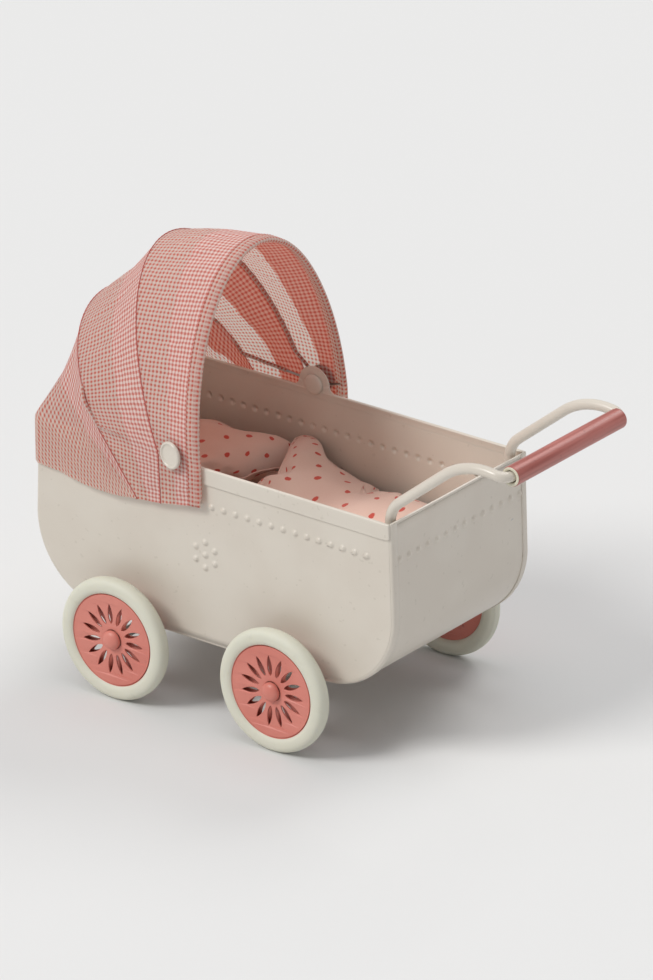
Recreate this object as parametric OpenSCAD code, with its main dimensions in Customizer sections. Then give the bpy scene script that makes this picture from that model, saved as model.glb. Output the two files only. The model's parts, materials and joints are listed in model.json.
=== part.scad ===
// Doll pram: a pressed sheet-metal tub on four petal-disc wheels, with a
// folding cloth hood, a bent-rod push handle and loose bedding.
// +X points to the handle (foot) end, +Y to the far side and +Z up.
// The origin is on the floor, midway between the two axles. Millimetres.

/* [Tub] */
// Width of the tub over its side panels
tub_w = 70; // [60:1:80]
// Length of the tub at its widest level
tub_len = 141.2; // [130:0.2:150]
// Length of the tub at its rim
rim_len = 138.8; // [128:0.2:148]
// Height of the rim above the floor
rim_z = 83; // [78:0.5:88]
// Height of the underside of the tub above the floor
floor_z = 23.2; // [22.8:0.1:26]
// Radius of the two bottom corners in side view
corner_r = 27.3; // [24:0.1:30]
// Thickness of the pressed sheet
sheet = 0.6; // [0.5:0.05:0.8]
// Height of the folded hem along the top of each side
hem_h = 5.5; // [4:0.1:7]

/* [Pressed decoration] */
// Radius of one round pressing
bump_r = 0.95; // [0.8:0.05:1.1]
// How far a pressing stands out of the sheet
bump_out = 0.5; // [0.3:0.05:0.7]
// Height of the rows of pressings above the floor
bump_z = 70.3; // [68:0.1:73]
// Number of pressings along one side
side_bumps = 27; // [21:2:27]
// Spacing of the pressings along one side
side_pitch = 4.65; // [4.3:0.05:4.7]
// Number of pressings along one end
end_bumps = 14; // [10:2:14]
// Spacing of the pressings along one end
end_pitch = 4.76; // [4.2:0.02:4.8]
// Radius of the six-pressing flower on each side
flower_r = 4.3; // [3.5:0.1:5]
// Height of the middle of the flower
flower_z = 53.4; // [48:0.2:58]

/* [Wheels] */
// Distance between the two axles
wheelbase = 63.2; // [60:0.2:66]
// Outer radius of the tyre
tyre_r = 20.4; // [19.6:0.1:21]
// Visible radius of the painted wheel disc
disc_r = 15; // [14:0.1:15.6]
// Number of petal slots in each disc
petals = 15; // [9:3:18]
// Distance from the middle plane to a wheel's middle plane
wheel_y = 44.6; // [43.5:0.1:46]
// Radius of the axle rod
axle_r = 1; // [0.8:0.05:1.2]

/* [Hood] */
// Place of the hood pivot along the tub
pivot_x = -13.4; // [-16:0.2:-10]
// Height of the hood pivot above the floor
pivot_z = 84.8; // [84:0.1:87]
// Reach of the front bow ahead of the pivot
front_lead = 10.4; // [8:0.2:12]
// Lean of the front bow from the tub's rim
front_lean = 94.5; // [90:0.5:98]
// Height of the cloth over the front bow along its lean
front_rise = 62.3; // [58:0.1:66]
// Lean of the middle bow from the tub's rim
middle_lean = 118.7; // [114:0.1:122]
// Height of the cloth over the middle bow along its lean
middle_rise = 63.4; // [58:0.1:66]
// Distance from the pivot back to the rear bow
rear_lag = 23.6; // [20:0.2:26]
// Lean of the rear bow from the tub's rim
rear_lean = 135; // [130:0.5:140]
// Height of the cloth over the rear bow along its lean
rear_rise = 46; // [42:0.2:50]
// Half the width of the hood cloth at the rim
hood_half_w = 37.9; // [37.8:0.1:39]
// Thickness of the hood cloth
cloth = 0.7; // [0.5:0.05:0.8]

/* [Handle] */
// Place of the grip's axis along the tub
grip_x = 109.4; // [104:0.2:114]
// Height of the grip's axis
grip_z = 107.2; // [102:0.2:112]
// Length of the grip
grip_len = 56; // [50:1:58]
// Outer radius of the grip
grip_r = 3.3; // [3:0.1:3.6]
// Radius of the handle rod
rod_r = 1.7; // [1.2:0.05:1.8]
// Distance from the middle plane to each handle arm
arm_y = 30.8; // [30.4:0.1:31.4]

/* [Bedding] */
// Height of the top of the mattress
mattress_top = 52; // [46:0.5:56]

/* [Hidden] */

$fn = 64;
enamel = [0.79, 0.76, 0.71];
rose = [0.78, 0.46, 0.41];
cream = [0.85, 0.84, 0.76];
check_cloth = [0.85, 0.62, 0.58];
cotton = [0.85, 0.68, 0.63];
steel = [0.7, 0.7, 0.7];
grip_red = [0.66, 0.36, 0.33];
eps = 0.01;

half_w = tub_w / 2;
corner_x = tub_len / 2 - corner_r;
corner_z = floor_z + corner_r;
axle_x = wheelbase / 2;
axle_z = tyre_r;

// ---- tub -------------------------------------------------------------

// Points of an arc of radius r round c, from a0 to a1 degrees.
function arc(c, r, a0, a1, step = 6) =
    [for (a = [a0 : step : a1]) c + r * [cos(a), sin(a)]];

// Unit vector along v.
function unit(v) = v / norm(v);

// Direction of a path at its point i.
function path_dir(p, i) = unit(
    (i < len(p) - 1 ? unit(p[i + 1] - p[i]) : [0, 0, 0]) +
    (i > 0 ? unit(p[i] - p[i - 1]) : [0, 0, 0]));

// Sideways direction at point i, carried along the path without twist.
function path_side(p, i, s) =
    unit(s - (s * path_dir(p, i)) * path_dir(p, i));
function path_sides(p, s, i = 0) =
    i == len(p) ? [] :
    let(t = path_side(p, i, s)) concat([t], path_sides(p, t, i + 1));

// Round rod of radius r along the points p, with the given number of sides.
// first_side is any direction that isn't along the start of the path.
module swept_rod(p, r, sides, first_side) {
    across = path_sides(p, first_side);
    rings = [for (i = [0 : len(p) - 1])
        for (k = [0 : sides - 1])
            p[i] + r * (cos(k * 360 / sides) * across[i]
                + sin(k * 360 / sides) * cross(path_dir(p, i), across[i]))];
    skin = [for (i = [0 : len(p) - 2])
        for (k = [0 : sides - 1])
            let(a = i * sides + k, b = i * sides + (k + 1) % sides)
                each [[a, a + sides, b], [b, a + sides, b + sides]]];
    ends = [[for (k = [0 : sides - 1]) k],
        [for (k = [sides - 1 : -1 : 0]) (len(p) - 1) * sides + k]];
    polyhedron(rings, concat(skin, ends));
}

// Side view of the tub, shrunk by d on every edge but the rim.
module tub_outline(d = 0) polygon(concat(
    [[-rim_len / 2 + d, rim_z]],
    arc([-corner_x, corner_z], corner_r - d, 180, 270),
    arc([corner_x, corner_z], corner_r - d, 270, 360),
    [[rim_len / 2 - d, rim_z]]
));

// Stands a side-view shape up and gives it a thickness from y0 to y1.
module side_slab(y0, y1) {
    translate([0, y1, 0]) rotate([90, 0, 0]) linear_extrude(y1 - y0) children();
}

module bump() {
    translate([0, 0, bump_out - bump_r]) sphere(bump_r, $fn = 24);
}

module side_bump(x, z) {
    translate([x, -half_w, z]) rotate([90, 0, 0]) bump();
}

// Rounded ear that carries the hood pivot above the rim.
module pivot_ear() {
    translate([pivot_x, pivot_z]) circle(6);
    translate([pivot_x - 6, rim_z - 3]) square([12, pivot_z - rim_z + 3]);
}

flower_x = -2.7;

// Side panel at -Y: pressed sheet with a folded hem, an ear and pressings.
module side_panel() {
    difference() {
        union() {
            side_slab(-half_w, -half_w + sheet) {
                tub_outline();
                pivot_ear();
            }
            side_slab(-half_w - sheet, -half_w + eps)
                translate([-rim_len / 2, rim_z - hem_h]) square([rim_len, hem_h]);
            for (i = [0 : side_bumps - 1])
                side_bump((i - (side_bumps - 1) / 2) * side_pitch, bump_z);
            side_bump(flower_x, flower_z);
            for (a = [30 : 60 : 330])
                side_bump(flower_x + flower_r * cos(a), flower_z + flower_r * sin(a));
        }
        translate([pivot_x, 0, pivot_z]) rotate([90, 0, 0]) cylinder(r = pin_r, h = tub_w);
    }
}
module tub_side_near() color(enamel) side_panel();
module tub_side_far() color(enamel) mirror([0, 1, 0]) side_panel();

// One sheet bent round: head wall, floor and foot wall.
module tub_wrap() color(enamel) {
    difference() {
        side_slab(-half_w + sheet, half_w - sheet) difference() {
            tub_outline();
            tub_outline(sheet);
            translate([-rim_len / 2 + sheet, rim_z - 1]) square([rim_len - 2 * sheet, 2]);
        }
        bracket_holes();
        both_sides() translate([tub_len / 2 - 4, -clip_rivet_y, clip_rivet_z])
            rotate([0, 90, 0]) cylinder(r = clip_rivet_r, h = 8);
    }
    lean = atan2((tub_len - rim_len) / 2, rim_z - corner_z);
    wall_x = rim_len / 2 + (rim_z - bump_z) * tan(lean);
    for (s = [-1, 1])
        for (i = [0 : end_bumps - 1])
            translate([s * wall_x, (i - (end_bumps - 1) / 2) * end_pitch, bump_z])
                rotate([0, s * 90, 0]) bump();
}

// ---- axles and brackets ----------------------------------------------

bracket_plate = 0.8;
bracket_half_x = 4;
bracket_half_y = 31;
bracket_rivet_y = 16;
bracket_rivet_r = 1;

module bracket_holes() {
    for (sx = [-1, 1])
        for (sy = [-1, 1])
            translate([sx * axle_x, sy * bracket_rivet_y, floor_z - 2])
                cylinder(r = bracket_rivet_r, h = 4);
}

// Folded strap under the tub floor with a bored ear at each end.
module axle_bracket() {
    difference() {
        union() {
            translate([-bracket_half_x, -bracket_half_y, floor_z - bracket_plate])
                cube([2 * bracket_half_x, 2 * bracket_half_y, bracket_plate]);
            for (s = [-1, 1]) {
                y_low = s > 0 ? bracket_half_y - 1 : -bracket_half_y;
                translate([-bracket_half_x, y_low, axle_z])
                    cube([2 * bracket_half_x, 1, floor_z - bracket_plate - axle_z + eps]);
                translate([0, y_low + 1, axle_z]) rotate([90, 0, 0])
                    cylinder(r = bracket_half_x, h = 1);
            }
        }
        translate([-bracket_half_x, -half_w, floor_z]) cube([2 * bracket_half_x, tub_w, bracket_half_x]);
        translate([0, half_w, axle_z]) rotate([90, 0, 0]) cylinder(r = axle_r, h = tub_w);
        for (s = [-1, 1])
            translate([0, s * bracket_rivet_y, floor_z - 2])
                cylinder(r = bracket_rivet_r, h = 4);
    }
}

module axle_bracket_head() color(enamel) translate([-axle_x, 0, 0]) axle_bracket();
module axle_bracket_foot() color(enamel) translate([axle_x, 0, 0]) axle_bracket();

// Four rivets that hold the two brackets to the tub floor.
module bracket_rivets() color(steel)
    for (sx = [-1, 1])
        for (sy = [-1, 1])
            translate([sx * axle_x, sy * bracket_rivet_y, 0]) {
                translate([0, 0, floor_z - bracket_plate - 0.6])
                    cylinder(r = 1.8, h = 0.6);
                translate([0, 0, floor_z - bracket_plate - eps])
                    cylinder(r = bracket_rivet_r, h = bracket_plate + sheet + 2 * eps);
                translate([0, 0, floor_z + sheet]) cylinder(r = 1.8, h = 0.5);
            }

axle_half = wheel_y + 2.6;

module axle(x) translate([x, axle_half, axle_z]) rotate([90, 0, 0])
    cylinder(r = axle_r, h = 2 * axle_half);

module axle_head() color(steel) axle(-axle_x);
module axle_foot() color(steel) axle(axle_x);

// Domed caps pressed on the axle ends, which keep the wheels on.
cap_r = 3.2;
cap_y = wheel_y + 1.75;
cap_h = 1.9;
dome_r = (cap_r * cap_r + cap_h * cap_h) / (2 * cap_h);
dome_drop = dome_r - cap_h;

module axle_cap() {
    rotate_extrude() difference() {
        intersection() {
            translate([0, -dome_drop]) circle(dome_r);
            square([cap_r, cap_h]);
        }
        square([axle_r, axle_half - cap_y]);
    }
}

module axle_caps() color(rose)
    for (sx = [-1, 1])
        for (sy = [-1, 1])
            translate([sx * axle_x, sy * cap_y, axle_z]) rotate([-sy * 90, 0, 0]) axle_cap();

// Plain washers between each bracket ear and its wheel hub.
module axle_spacers() color(steel)
    for (sx = [-1, 1])
        for (sy = [-1, 1])
            translate([sx * axle_x, sy * (bracket_half_y + 0.4), axle_z])
                rotate([-sy * 90, 0, 0]) difference() {
                    cylinder(r = 2, h = 3.6);
                    translate([0, 0, -1]) cylinder(r = axle_r, h = 6);
                }

// ---- wheels ----------------------------------------------------------

disc_gap = 1.5;
disc_t = 0.5;
bush_r = 2.2;
slot_in = 4.9;
slot_out = 12.2;
slot_w = 1.7;

// One slot, a petal drawn between two arcs that cross at its tips.
module petal() {
    half_len = (slot_out - slot_in) / 2;
    arc_r = (half_len * half_len + slot_w * slot_w / 4) / slot_w;
    translate([(slot_in + slot_out) / 2, 0]) intersection() {
        translate([0, arc_r - slot_w / 2]) circle(arc_r);
        translate([0, -arc_r + slot_w / 2]) circle(arc_r);
    }
}

// Stamped disc with petal slots and a turned rim, its face at z = 0.
module petal_disc() {
    linear_extrude(disc_t) difference() {
        circle(disc_r + 0.9);
        for (i = [0 : petals - 1]) rotate(i * 360 / petals) petal();
        circle(bush_r - 0.4);
    }
}

// Outer face of a wheel turned to +Z at the origin.
module wheel_outer_disc() color(rose) translate([0, 0, disc_gap - disc_t]) petal_disc();
module wheel_inner_disc() color(rose) translate([0, 0, -disc_gap]) petal_disc();

module wheel_hub_bush() color(rose) difference() {
    union() {
        translate([0, 0, -disc_gap + disc_t])
            cylinder(r = bush_r, h = 2 * (disc_gap - disc_t));
        translate([0, 0, -9]) cylinder(r = bush_r - 0.4, h = 9 + disc_gap);
    }
    translate([0, 0, -10]) cylinder(r = axle_r + 0.06, h = 20);
}

tyre_half = (tyre_r - disc_r) / 2;

// Round-shouldered tyre with a groove that grips the two disc rims.
module wheel_tyre() color(cream) rotate_extrude() difference() {
    translate([disc_r + (tyre_r - disc_r) / 2, 0]) intersection() {
        circle(tyre_half + 0.45);
        translate([-tyre_half, -tyre_half]) square([2 * tyre_half, 2 * tyre_half]);
    }
    translate([disc_r - 1, -disc_gap]) square([1.9, 2 * disc_gap]);
}
module at_wheel(sx, sy) translate([sx * axle_x, sy * wheel_y, axle_z])
    rotate([-sy * 90, 0, 0]) children();

// ---- hood ------------------------------------------------------------

pin_r = 1.2;
wire_r = 0.4;
wire_half_w = 36.7;
wire_in = cloth + 0.3 + wire_r;
leaf_t = 0.3;
leaf_r = 2.3;

// Places a shape drawn in a bow's own plane: first axis along +Y, second
// axis up the bow, which leans back from +X by the angle lean.
module on_bow(x, lean) translate([x, 0, pivot_z]) rotate([0, 90 - lean, 0])
    rotate([0, 0, 90]) rotate([90, 0, 0]) children();

// The same placing for one point of that plane.
function bow_point(x, lean, q) = [x + q[1] * cos(lean), q[0], pivot_z + q[1] * sin(lean)];

// Half an ellipse of half width a and height b, with straight legs that go
// down by low.
function arch(a, b, low) = concat(
    low > 0 ? [[a, -low]] : [],
    [for (t = [0 : 7.5 : 180]) [a * cos(t), b * sin(t)]],
    low > 0 ? [[-a, -low]] : []
);

front_x = pivot_x + front_lead;
rear_x = pivot_x - rear_lag;

// A thin slice of the hood's outline in one bow's plane, for hulls.
module arch_slice(x, lean, a, b, low)
    on_bow(x, lean) linear_extrude(0.02, center = true) polygon(arch(a, b, low));

// Cloth between two bow planes: the outer hull less the inner one, which
// runs 1 past both planes and 3 out of the lower edge.
module cloth_between(x0, lean0, rise0, x1, lean1, rise1) {
    difference() {
        hull() {
            arch_slice(x0, lean0, hood_half_w, rise0, 0);
            arch_slice(x1, lean1, hood_half_w, rise1, 0);
        }
        hull() {
            arch_slice(x0 + 1, lean0, hood_half_w - cloth, rise0 - cloth, 3);
            arch_slice(x1 - 1, lean1, hood_half_w - cloth, rise1 - cloth, 3);
        }
    }
}

seam_gap = 0.2;

hem_w = 4.2;

module hood_front_hem() color(check_cloth) difference() {
    hull() {
        arch_slice(front_x, front_lean, hood_half_w, front_rise, 15.8);
        arch_slice(front_x - hem_w, front_lean, hood_half_w, front_rise, 15.8);
    }
    hull() {
        arch_slice(front_x + 1, front_lean, hood_half_w - cloth, front_rise - cloth, 19);
        arch_slice(front_x - hem_w - 1, front_lean, hood_half_w - cloth, front_rise - cloth, 19);
    }
}

middle_x = pivot_x - 3;
seam_low_x = pivot_x - 5;
curtain_low = 68.3;

// Flat hanging edge of the cloth below the pivot, on both sides.
module curtain(points) both_sides()
    side_slab(-hood_half_w, -hood_half_w + cloth) polygon(points);

// Twelve-sided hole through the cloth for the pivot pin.
module pin_slot() translate([pivot_x, half_w + 10, pivot_z]) rotate([90, 0, 0])
    cylinder(r = pin_r + 0.5, h = tub_w + 20, $fn = 12);

module hood_cloth_front() color(check_cloth) difference() {
    x0 = front_x - hem_w - seam_gap;
    union() {
        cloth_between(x0, front_lean, front_rise, middle_x, middle_lean, middle_rise);
        curtain([[x0 + 1.2, curtain_low], [x0, pivot_z], [x0 - 0.1, pivot_z + 1],
            [middle_x - 0.6, pivot_z + 1], [middle_x, pivot_z], [seam_low_x, curtain_low]]);
    }
    pin_slot();
}

module hood_cloth_middle() color(check_cloth) {
    x0 = middle_x - seam_gap;
    fall = pivot_z - curtain_low;
    cloth_between(x0, middle_lean, middle_rise, rear_x, rear_lean, rear_rise);
    curtain([[seam_low_x - 0.3, curtain_low], [x0, pivot_z], [x0 - 0.6, pivot_z + 1],
        [rear_x - 1, pivot_z + 1], [rear_x, pivot_z], [rear_x + fall, curtain_low]]);
}

// Cloth behind the rear bow, with the skirt that wraps the head of the tub.
skirt_low = 66.5;
skirt_x = tub_len / 2 + 1.4;
skirt_r = 3;

module skirt_block(d, low)
    for (sy = [-1, 1])
        translate([-skirt_x + skirt_r, sy * (hood_half_w - skirt_r), low])
            cylinder(r = skirt_r - d, h = pivot_z + 1 - low, $fn = 32);

module hood_cloth_rear() color(check_cloth) difference() {
    hull() {
        arch_slice(rear_x - seam_gap, rear_lean, hood_half_w, rear_rise, 24);
        skirt_block(0, skirt_low);
    }
    hull() {
        arch_slice(rear_x + 0.6, rear_lean, hood_half_w - cloth, rear_rise - cloth, 34);
        skirt_block(cloth, skirt_low - 6);
    }
}

// Path of a bow's wire: a foot from foot_x on each side, then the arch,
// which starts at the height low along its lean.
function bow_path(foot_x, x, lean, b, low = 0) =
    let(
        a = wire_half_w,
        h = b - wire_in,
        half = [for (t = [0 : 7.5 : 90])
            let(q = [-a * cos(t), h * sin(t)]) if (q[1] >= low) bow_point(x, lean, q)],
        near = concat(
            foot_x == x ? [bow_point(x, lean, [-a, low])] : [[foot_x, -a, pivot_z]],
            half)
    )
    concat(near, [for (i = [len(near) - 2 : -1 : 0]) [near[i][0], -near[i][1], near[i][2]]]);

// Flat eyelet on the pivot at -Y in its own layer outside the tub's hem, with
// a tongue that reaches the wire in the direction a, as seen from -Y.
module eyelet(layer, a, reach) {
    y = -half_w - sheet - 0.05 - layer * 0.4;
    translate([pivot_x, y, pivot_z]) rotate([90, 0, 0]) difference() {
        union() {
            cylinder(r = leaf_r, h = leaf_t);
            rotate([0, 0, a]) {
                translate([0, -0.6, 0]) cube([reach, 1.2, leaf_t]);
                translate([reach - 0.8, -0.4, 0]) cube([0.8, 0.8, wire_half_w + y]);
            }
        }
        translate([0, 0, -1]) cylinder(r = pin_r + 0.06, h = 3);
    }
}

module both_sides() {
    children();
    mirror([0, 1, 0]) children();
}

module hood_front_bow() color(steel) {
    swept_rod(bow_path(pivot_x + 2.7, front_x - 1.2, front_lean, front_rise), wire_r, 8, [0, 1, 0]);
    both_sides() eyelet(2, 0, 3.4);
}

module hood_middle_bow() color(steel) {
    swept_rod(bow_path(pivot_x, pivot_x, middle_lean, middle_rise, 2.7), wire_r, 8, [0, 1, 0]);
    both_sides() eyelet(1, middle_lean, 3.4);
}

module hood_rear_bow() color(steel) {
    swept_rod(bow_path(pivot_x - 2.7, rear_x + 1.2, rear_lean, rear_rise), wire_r, 8, [0, 1, 0]);
    both_sides() eyelet(0, 180, 3.4);
}

// Headed pins through the ears, the eyelets and the cloth.
module hood_pivot_rivets() color(enamel) both_sides()
    translate([pivot_x, -half_w + sheet, pivot_z]) {
        rotate([90, 0, 0]) cylinder(r = pin_r, h = 4.1);
        rotate([-90, 0, 0]) intersection() {
            cylinder(r = 3.4, h = 0.9);
            translate([0, 0, -6.4]) sphere(7.3);
        }
    }

module hood_snap_caps() color(enamel) both_sides()
    translate([pivot_x, -hood_half_w - 0.25, pivot_z]) rotate([90, 0, 0]) difference() {
        union() {
            cylinder(r = 4.5, h = 0.9);
            rotate_extrude() translate([4, 0.9]) circle(0.45, $fn = 24);
        }
        translate([0, 0, -1]) cylinder(r = pin_r, h = 1.65);
    }

// ---- handle ----------------------------------------------------------

bend_r = 4;
clip_z = 58;
clip_h = 9;

// Turn radii and headings of a handle arm in side view. Headings are in
// degrees above +X.
arm_top_turn = 24;
arm_low_turn = 9;
arm_low_heading = 39;
arm_end_heading = -9;

// Where each stretch of the arm starts, worked back from the grip.
arm_end = [grip_x, grip_z] - bend_r * [cos(arm_end_heading), sin(arm_end_heading)];
top_centre = arm_end + arm_top_turn * [sin(arm_end_heading), -cos(arm_end_heading)];
top_start = top_centre + arm_top_turn * [-sin(arm_low_heading), cos(arm_low_heading)];
foot_arm_x = tub_len / 2 - 4.4;
low_end_x = foot_arm_x + arm_low_turn * (1 - sin(arm_low_heading));
straight_len = (top_start[0] - low_end_x) / cos(arm_low_heading);
low_centre = top_start - straight_len * [cos(arm_low_heading), sin(arm_low_heading)]
    + arm_low_turn * [sin(arm_low_heading), -cos(arm_low_heading)];

// Centre line of the arm in side view, then its bend into the grip's axis.
arm_side_view = concat(
    [[foot_arm_x, clip_z - 1]],
    [for (a = [180 : -7 : 90 + arm_low_heading]) low_centre + arm_low_turn * [cos(a), sin(a)]],
    [for (a = [90 + arm_low_heading : -(arm_low_heading - arm_end_heading) / 8 : 90 + arm_end_heading - 1])
        top_centre + arm_top_turn * [cos(a), sin(a)]]
);
arm_path = concat(
    [for (q = arm_side_view) [q[0], -arm_y, q[1]]],
    [for (a = [15 : 15 : 90])
        let(along = bend_r * (sin(a) - 1))
            [grip_x + along * cos(arm_end_heading), -arm_y + bend_r * (1 - cos(a)),
                grip_z + along * sin(arm_end_heading)]],
    [[grip_x, -arm_y + bend_r + 1, grip_z]]
);

module handle_rod() color(enamel) {
    both_sides() swept_rod(arm_path, rod_r - 0.01, 12, [1, 0, 0]);
    translate([grip_x, arm_y - bend_r, grip_z]) rotate([90, 0, 0])
        cylinder(r = rod_r, h = 2 * (arm_y - bend_r));
}

// Saddle clips that hold the two rod ends to the foot wall, and the rivets
// through their flanges, which end flush with the outside of the wall.
flange_x = tub_len / 2 - sheet - 2.4;
flange_out = tub_len / 2 - sheet - 0.7;
clip_rivet_y = arm_y - 3.8;
clip_rivet_z = clip_z + clip_h / 2;
clip_rivet_r = 0.8;

module handle_clips() color(enamel) both_sides() difference() {
    translate([foot_arm_x - rod_r - 0.6, -arm_y - 2.2, clip_z])
        cube([flange_out - foot_arm_x + rod_r + 0.6, 7.6, clip_h]);
    translate([foot_arm_x, -arm_y, clip_z - 1]) cylinder(r = rod_r, h = clip_h + 2);
    translate([foot_arm_x - rod_r - 2, -arm_y + 2.2, clip_z - 1])
        cube([flange_x - foot_arm_x + rod_r + 2, 6, clip_h + 2]);
    translate([foot_arm_x, -clip_rivet_y, clip_rivet_z]) rotate([0, 90, 0])
        cylinder(r = clip_rivet_r, h = 9);
}

module handle_rivets() color(steel) both_sides() {
    translate([flange_x - 0.5, -clip_rivet_y, clip_rivet_z]) rotate([0, 90, 0])
        cylinder(r = 1.4, h = 0.5);
    translate([flange_x - eps, -clip_rivet_y, clip_rivet_z]) rotate([0, 90, 0])
        cylinder(r = clip_rivet_r, h = tub_len / 2 - 0.45 - flange_x);
}

module handle_grip() color(grip_red)
    translate([grip_x, grip_len / 2, grip_z]) rotate([90, 0, 0]) difference() {
        cylinder(r = grip_r, h = grip_len);
        translate([0, 0, -1]) cylinder(r = rod_r + 0.08, h = grip_len + 2);
        for (z = [-1, grip_len - 2]) translate([0, 0, z]) cylinder(r = rod_r + 0.5, h = 3);
    }

// ---- bedding ---------------------------------------------------------

bed_gap = 1.2;

module mattress() color(cotton) side_slab(-half_w + sheet + bed_gap, half_w - sheet - bed_gap)
    intersection() {
        tub_outline(sheet + bed_gap);
        translate([-tub_len, 0]) square([2 * tub_len, mattress_top]);
        translate([-tub_len / 2 + 4, 0]) square([tub_len - 12, mattress_top]);
    }

// Soft rectangle: a hull of balls of radius r, with a flat underside. The
// height z1 - z0 is at least 2 * r.
module soft_block(x0, x1, half_y, z0, z1, r) hull()
    for (x = [x0 + r, x1 - r])
        for (y = [-half_y + r, half_y - r])
            translate([x, y, z0]) {
                cylinder(r = r, h = eps, $fn = 24);
                translate([0, 0, z1 - z0 - r]) sphere(r, $fn = 24);
            }

module pillow() color(cotton)
    soft_block(-66, -19, 32, mattress_top + 0.3, 66, 6);

module duvet() color(cotton)
    soft_block(-18.4, 62, 32.2, mattress_top + 0.3, 62, 4.8);

// ---- parts -----------------------------------------------------------

tub_side_near();
tub_side_far();
tub_wrap();
axle_bracket_head();
axle_bracket_foot();
bracket_rivets();
axle_head();
axle_foot();
axle_caps();
axle_spacers();
for (sx = [-1, 1])
    for (sy = [-1, 1]) {
        name = str("wheel_", sx < 0 ? "head" : "foot", "_", sy < 0 ? "near" : "far", "_");
        at_wheel(sx, sy) wheel_outer_disc();
        at_wheel(sx, sy) wheel_inner_disc();
        at_wheel(sx, sy) wheel_hub_bush();
        at_wheel(sx, sy) wheel_tyre();
    }
hood_pivot_rivets();
hood_snap_caps();
hood_front_bow();
hood_middle_bow();
hood_rear_bow();
hood_front_hem();
hood_cloth_front();
hood_cloth_middle();
hood_cloth_rear();
handle_rod();
handle_clips();
handle_rivets();
handle_grip();
mattress();
pillow();
duvet();
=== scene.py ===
import json
import math

import bmesh
import bpy
import numpy as np
from mathutils import Matrix, Vector


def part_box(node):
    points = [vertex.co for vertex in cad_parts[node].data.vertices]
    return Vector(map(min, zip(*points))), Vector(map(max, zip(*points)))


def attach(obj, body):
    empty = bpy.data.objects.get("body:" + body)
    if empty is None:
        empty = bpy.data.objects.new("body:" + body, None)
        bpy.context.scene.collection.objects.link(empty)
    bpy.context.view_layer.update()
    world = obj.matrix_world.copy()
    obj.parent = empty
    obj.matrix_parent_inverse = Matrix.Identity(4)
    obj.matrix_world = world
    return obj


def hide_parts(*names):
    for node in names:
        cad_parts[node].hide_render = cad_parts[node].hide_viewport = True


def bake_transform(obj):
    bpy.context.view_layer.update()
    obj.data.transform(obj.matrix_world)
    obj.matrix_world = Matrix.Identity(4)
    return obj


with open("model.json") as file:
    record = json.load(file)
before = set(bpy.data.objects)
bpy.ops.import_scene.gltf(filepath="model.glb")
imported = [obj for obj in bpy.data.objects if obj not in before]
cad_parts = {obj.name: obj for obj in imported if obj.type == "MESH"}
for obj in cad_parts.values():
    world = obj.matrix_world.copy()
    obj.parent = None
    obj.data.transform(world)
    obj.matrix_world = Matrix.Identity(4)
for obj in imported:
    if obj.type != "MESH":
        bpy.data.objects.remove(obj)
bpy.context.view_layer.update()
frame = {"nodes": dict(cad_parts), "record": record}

# All shapes below are worked out in millimetres; meshes are stored in metres.
MM = 0.001
JOINTS = {j["name"]: j for j in frame["record"]["behaviour"]["joints"]}


def corners(node):
    """Lowest and highest corner of a CAD node, in millimetres."""
    low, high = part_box(node)
    return np.array(low) / MM, np.array(high) / MM


def joint_place(name):
    return np.array(JOINTS[name]["pos_m"]) / MM


# ---- driving dimensions, read from the frame -------------------------------

WRAP_LOW, WRAP_HIGH = corners("tub_wrap")
HEM_HIGH = corners("hood_front_hem")[1]
CAP_HIGH = corners("hood_snap_caps")[1]
GRIP_LOW, GRIP_HIGH = corners("handle_grip")
ROD_LOW, ROD_HIGH = corners("handle_rod")
MATTRESS_LOW, MATTRESS_HIGH = corners("mattress")
PILLOW_LOW, PILLOW_HIGH = corners("pillow")
DUVET_LOW, DUVET_HIGH = corners("duvet")

PIVOT_X, _, PIVOT_Z = joint_place("hood_fold")
GRIP_AXIS = joint_place("grip_turn")

SHEET = 0.6
HALF_W = WRAP_HIGH[1] + SHEET
RIM_Z = WRAP_HIGH[2]
FLOOR_Z = WRAP_LOW[2]
TUB_LEN = WRAP_HIGH[0] - WRAP_LOW[0]
RIM_LEN = TUB_LEN - 2.4
CORNER_R = 27.3
CORNER_X = TUB_LEN / 2 - CORNER_R
CORNER_Z = FLOOR_Z + CORNER_R
HEM_H = 5.5
HEM_OUT = HALF_W + SHEET
BUMP_Z = RIM_Z - 12.7
BUMP_OUT = 0.68
BUMP_R = 1.2
SIDE_BUMPS, SIDE_PITCH = 27, 4.65
END_BUMPS, END_PITCH = 14, 4.76
FLOWER = (-2.7, BUMP_Z - 16.9)
FLOWER_R = 4.3
EAR_R = 6.0
SIDES = (("near", -1), ("far", 1))


# ---- node helper ------------------------------------------------------------


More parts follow.
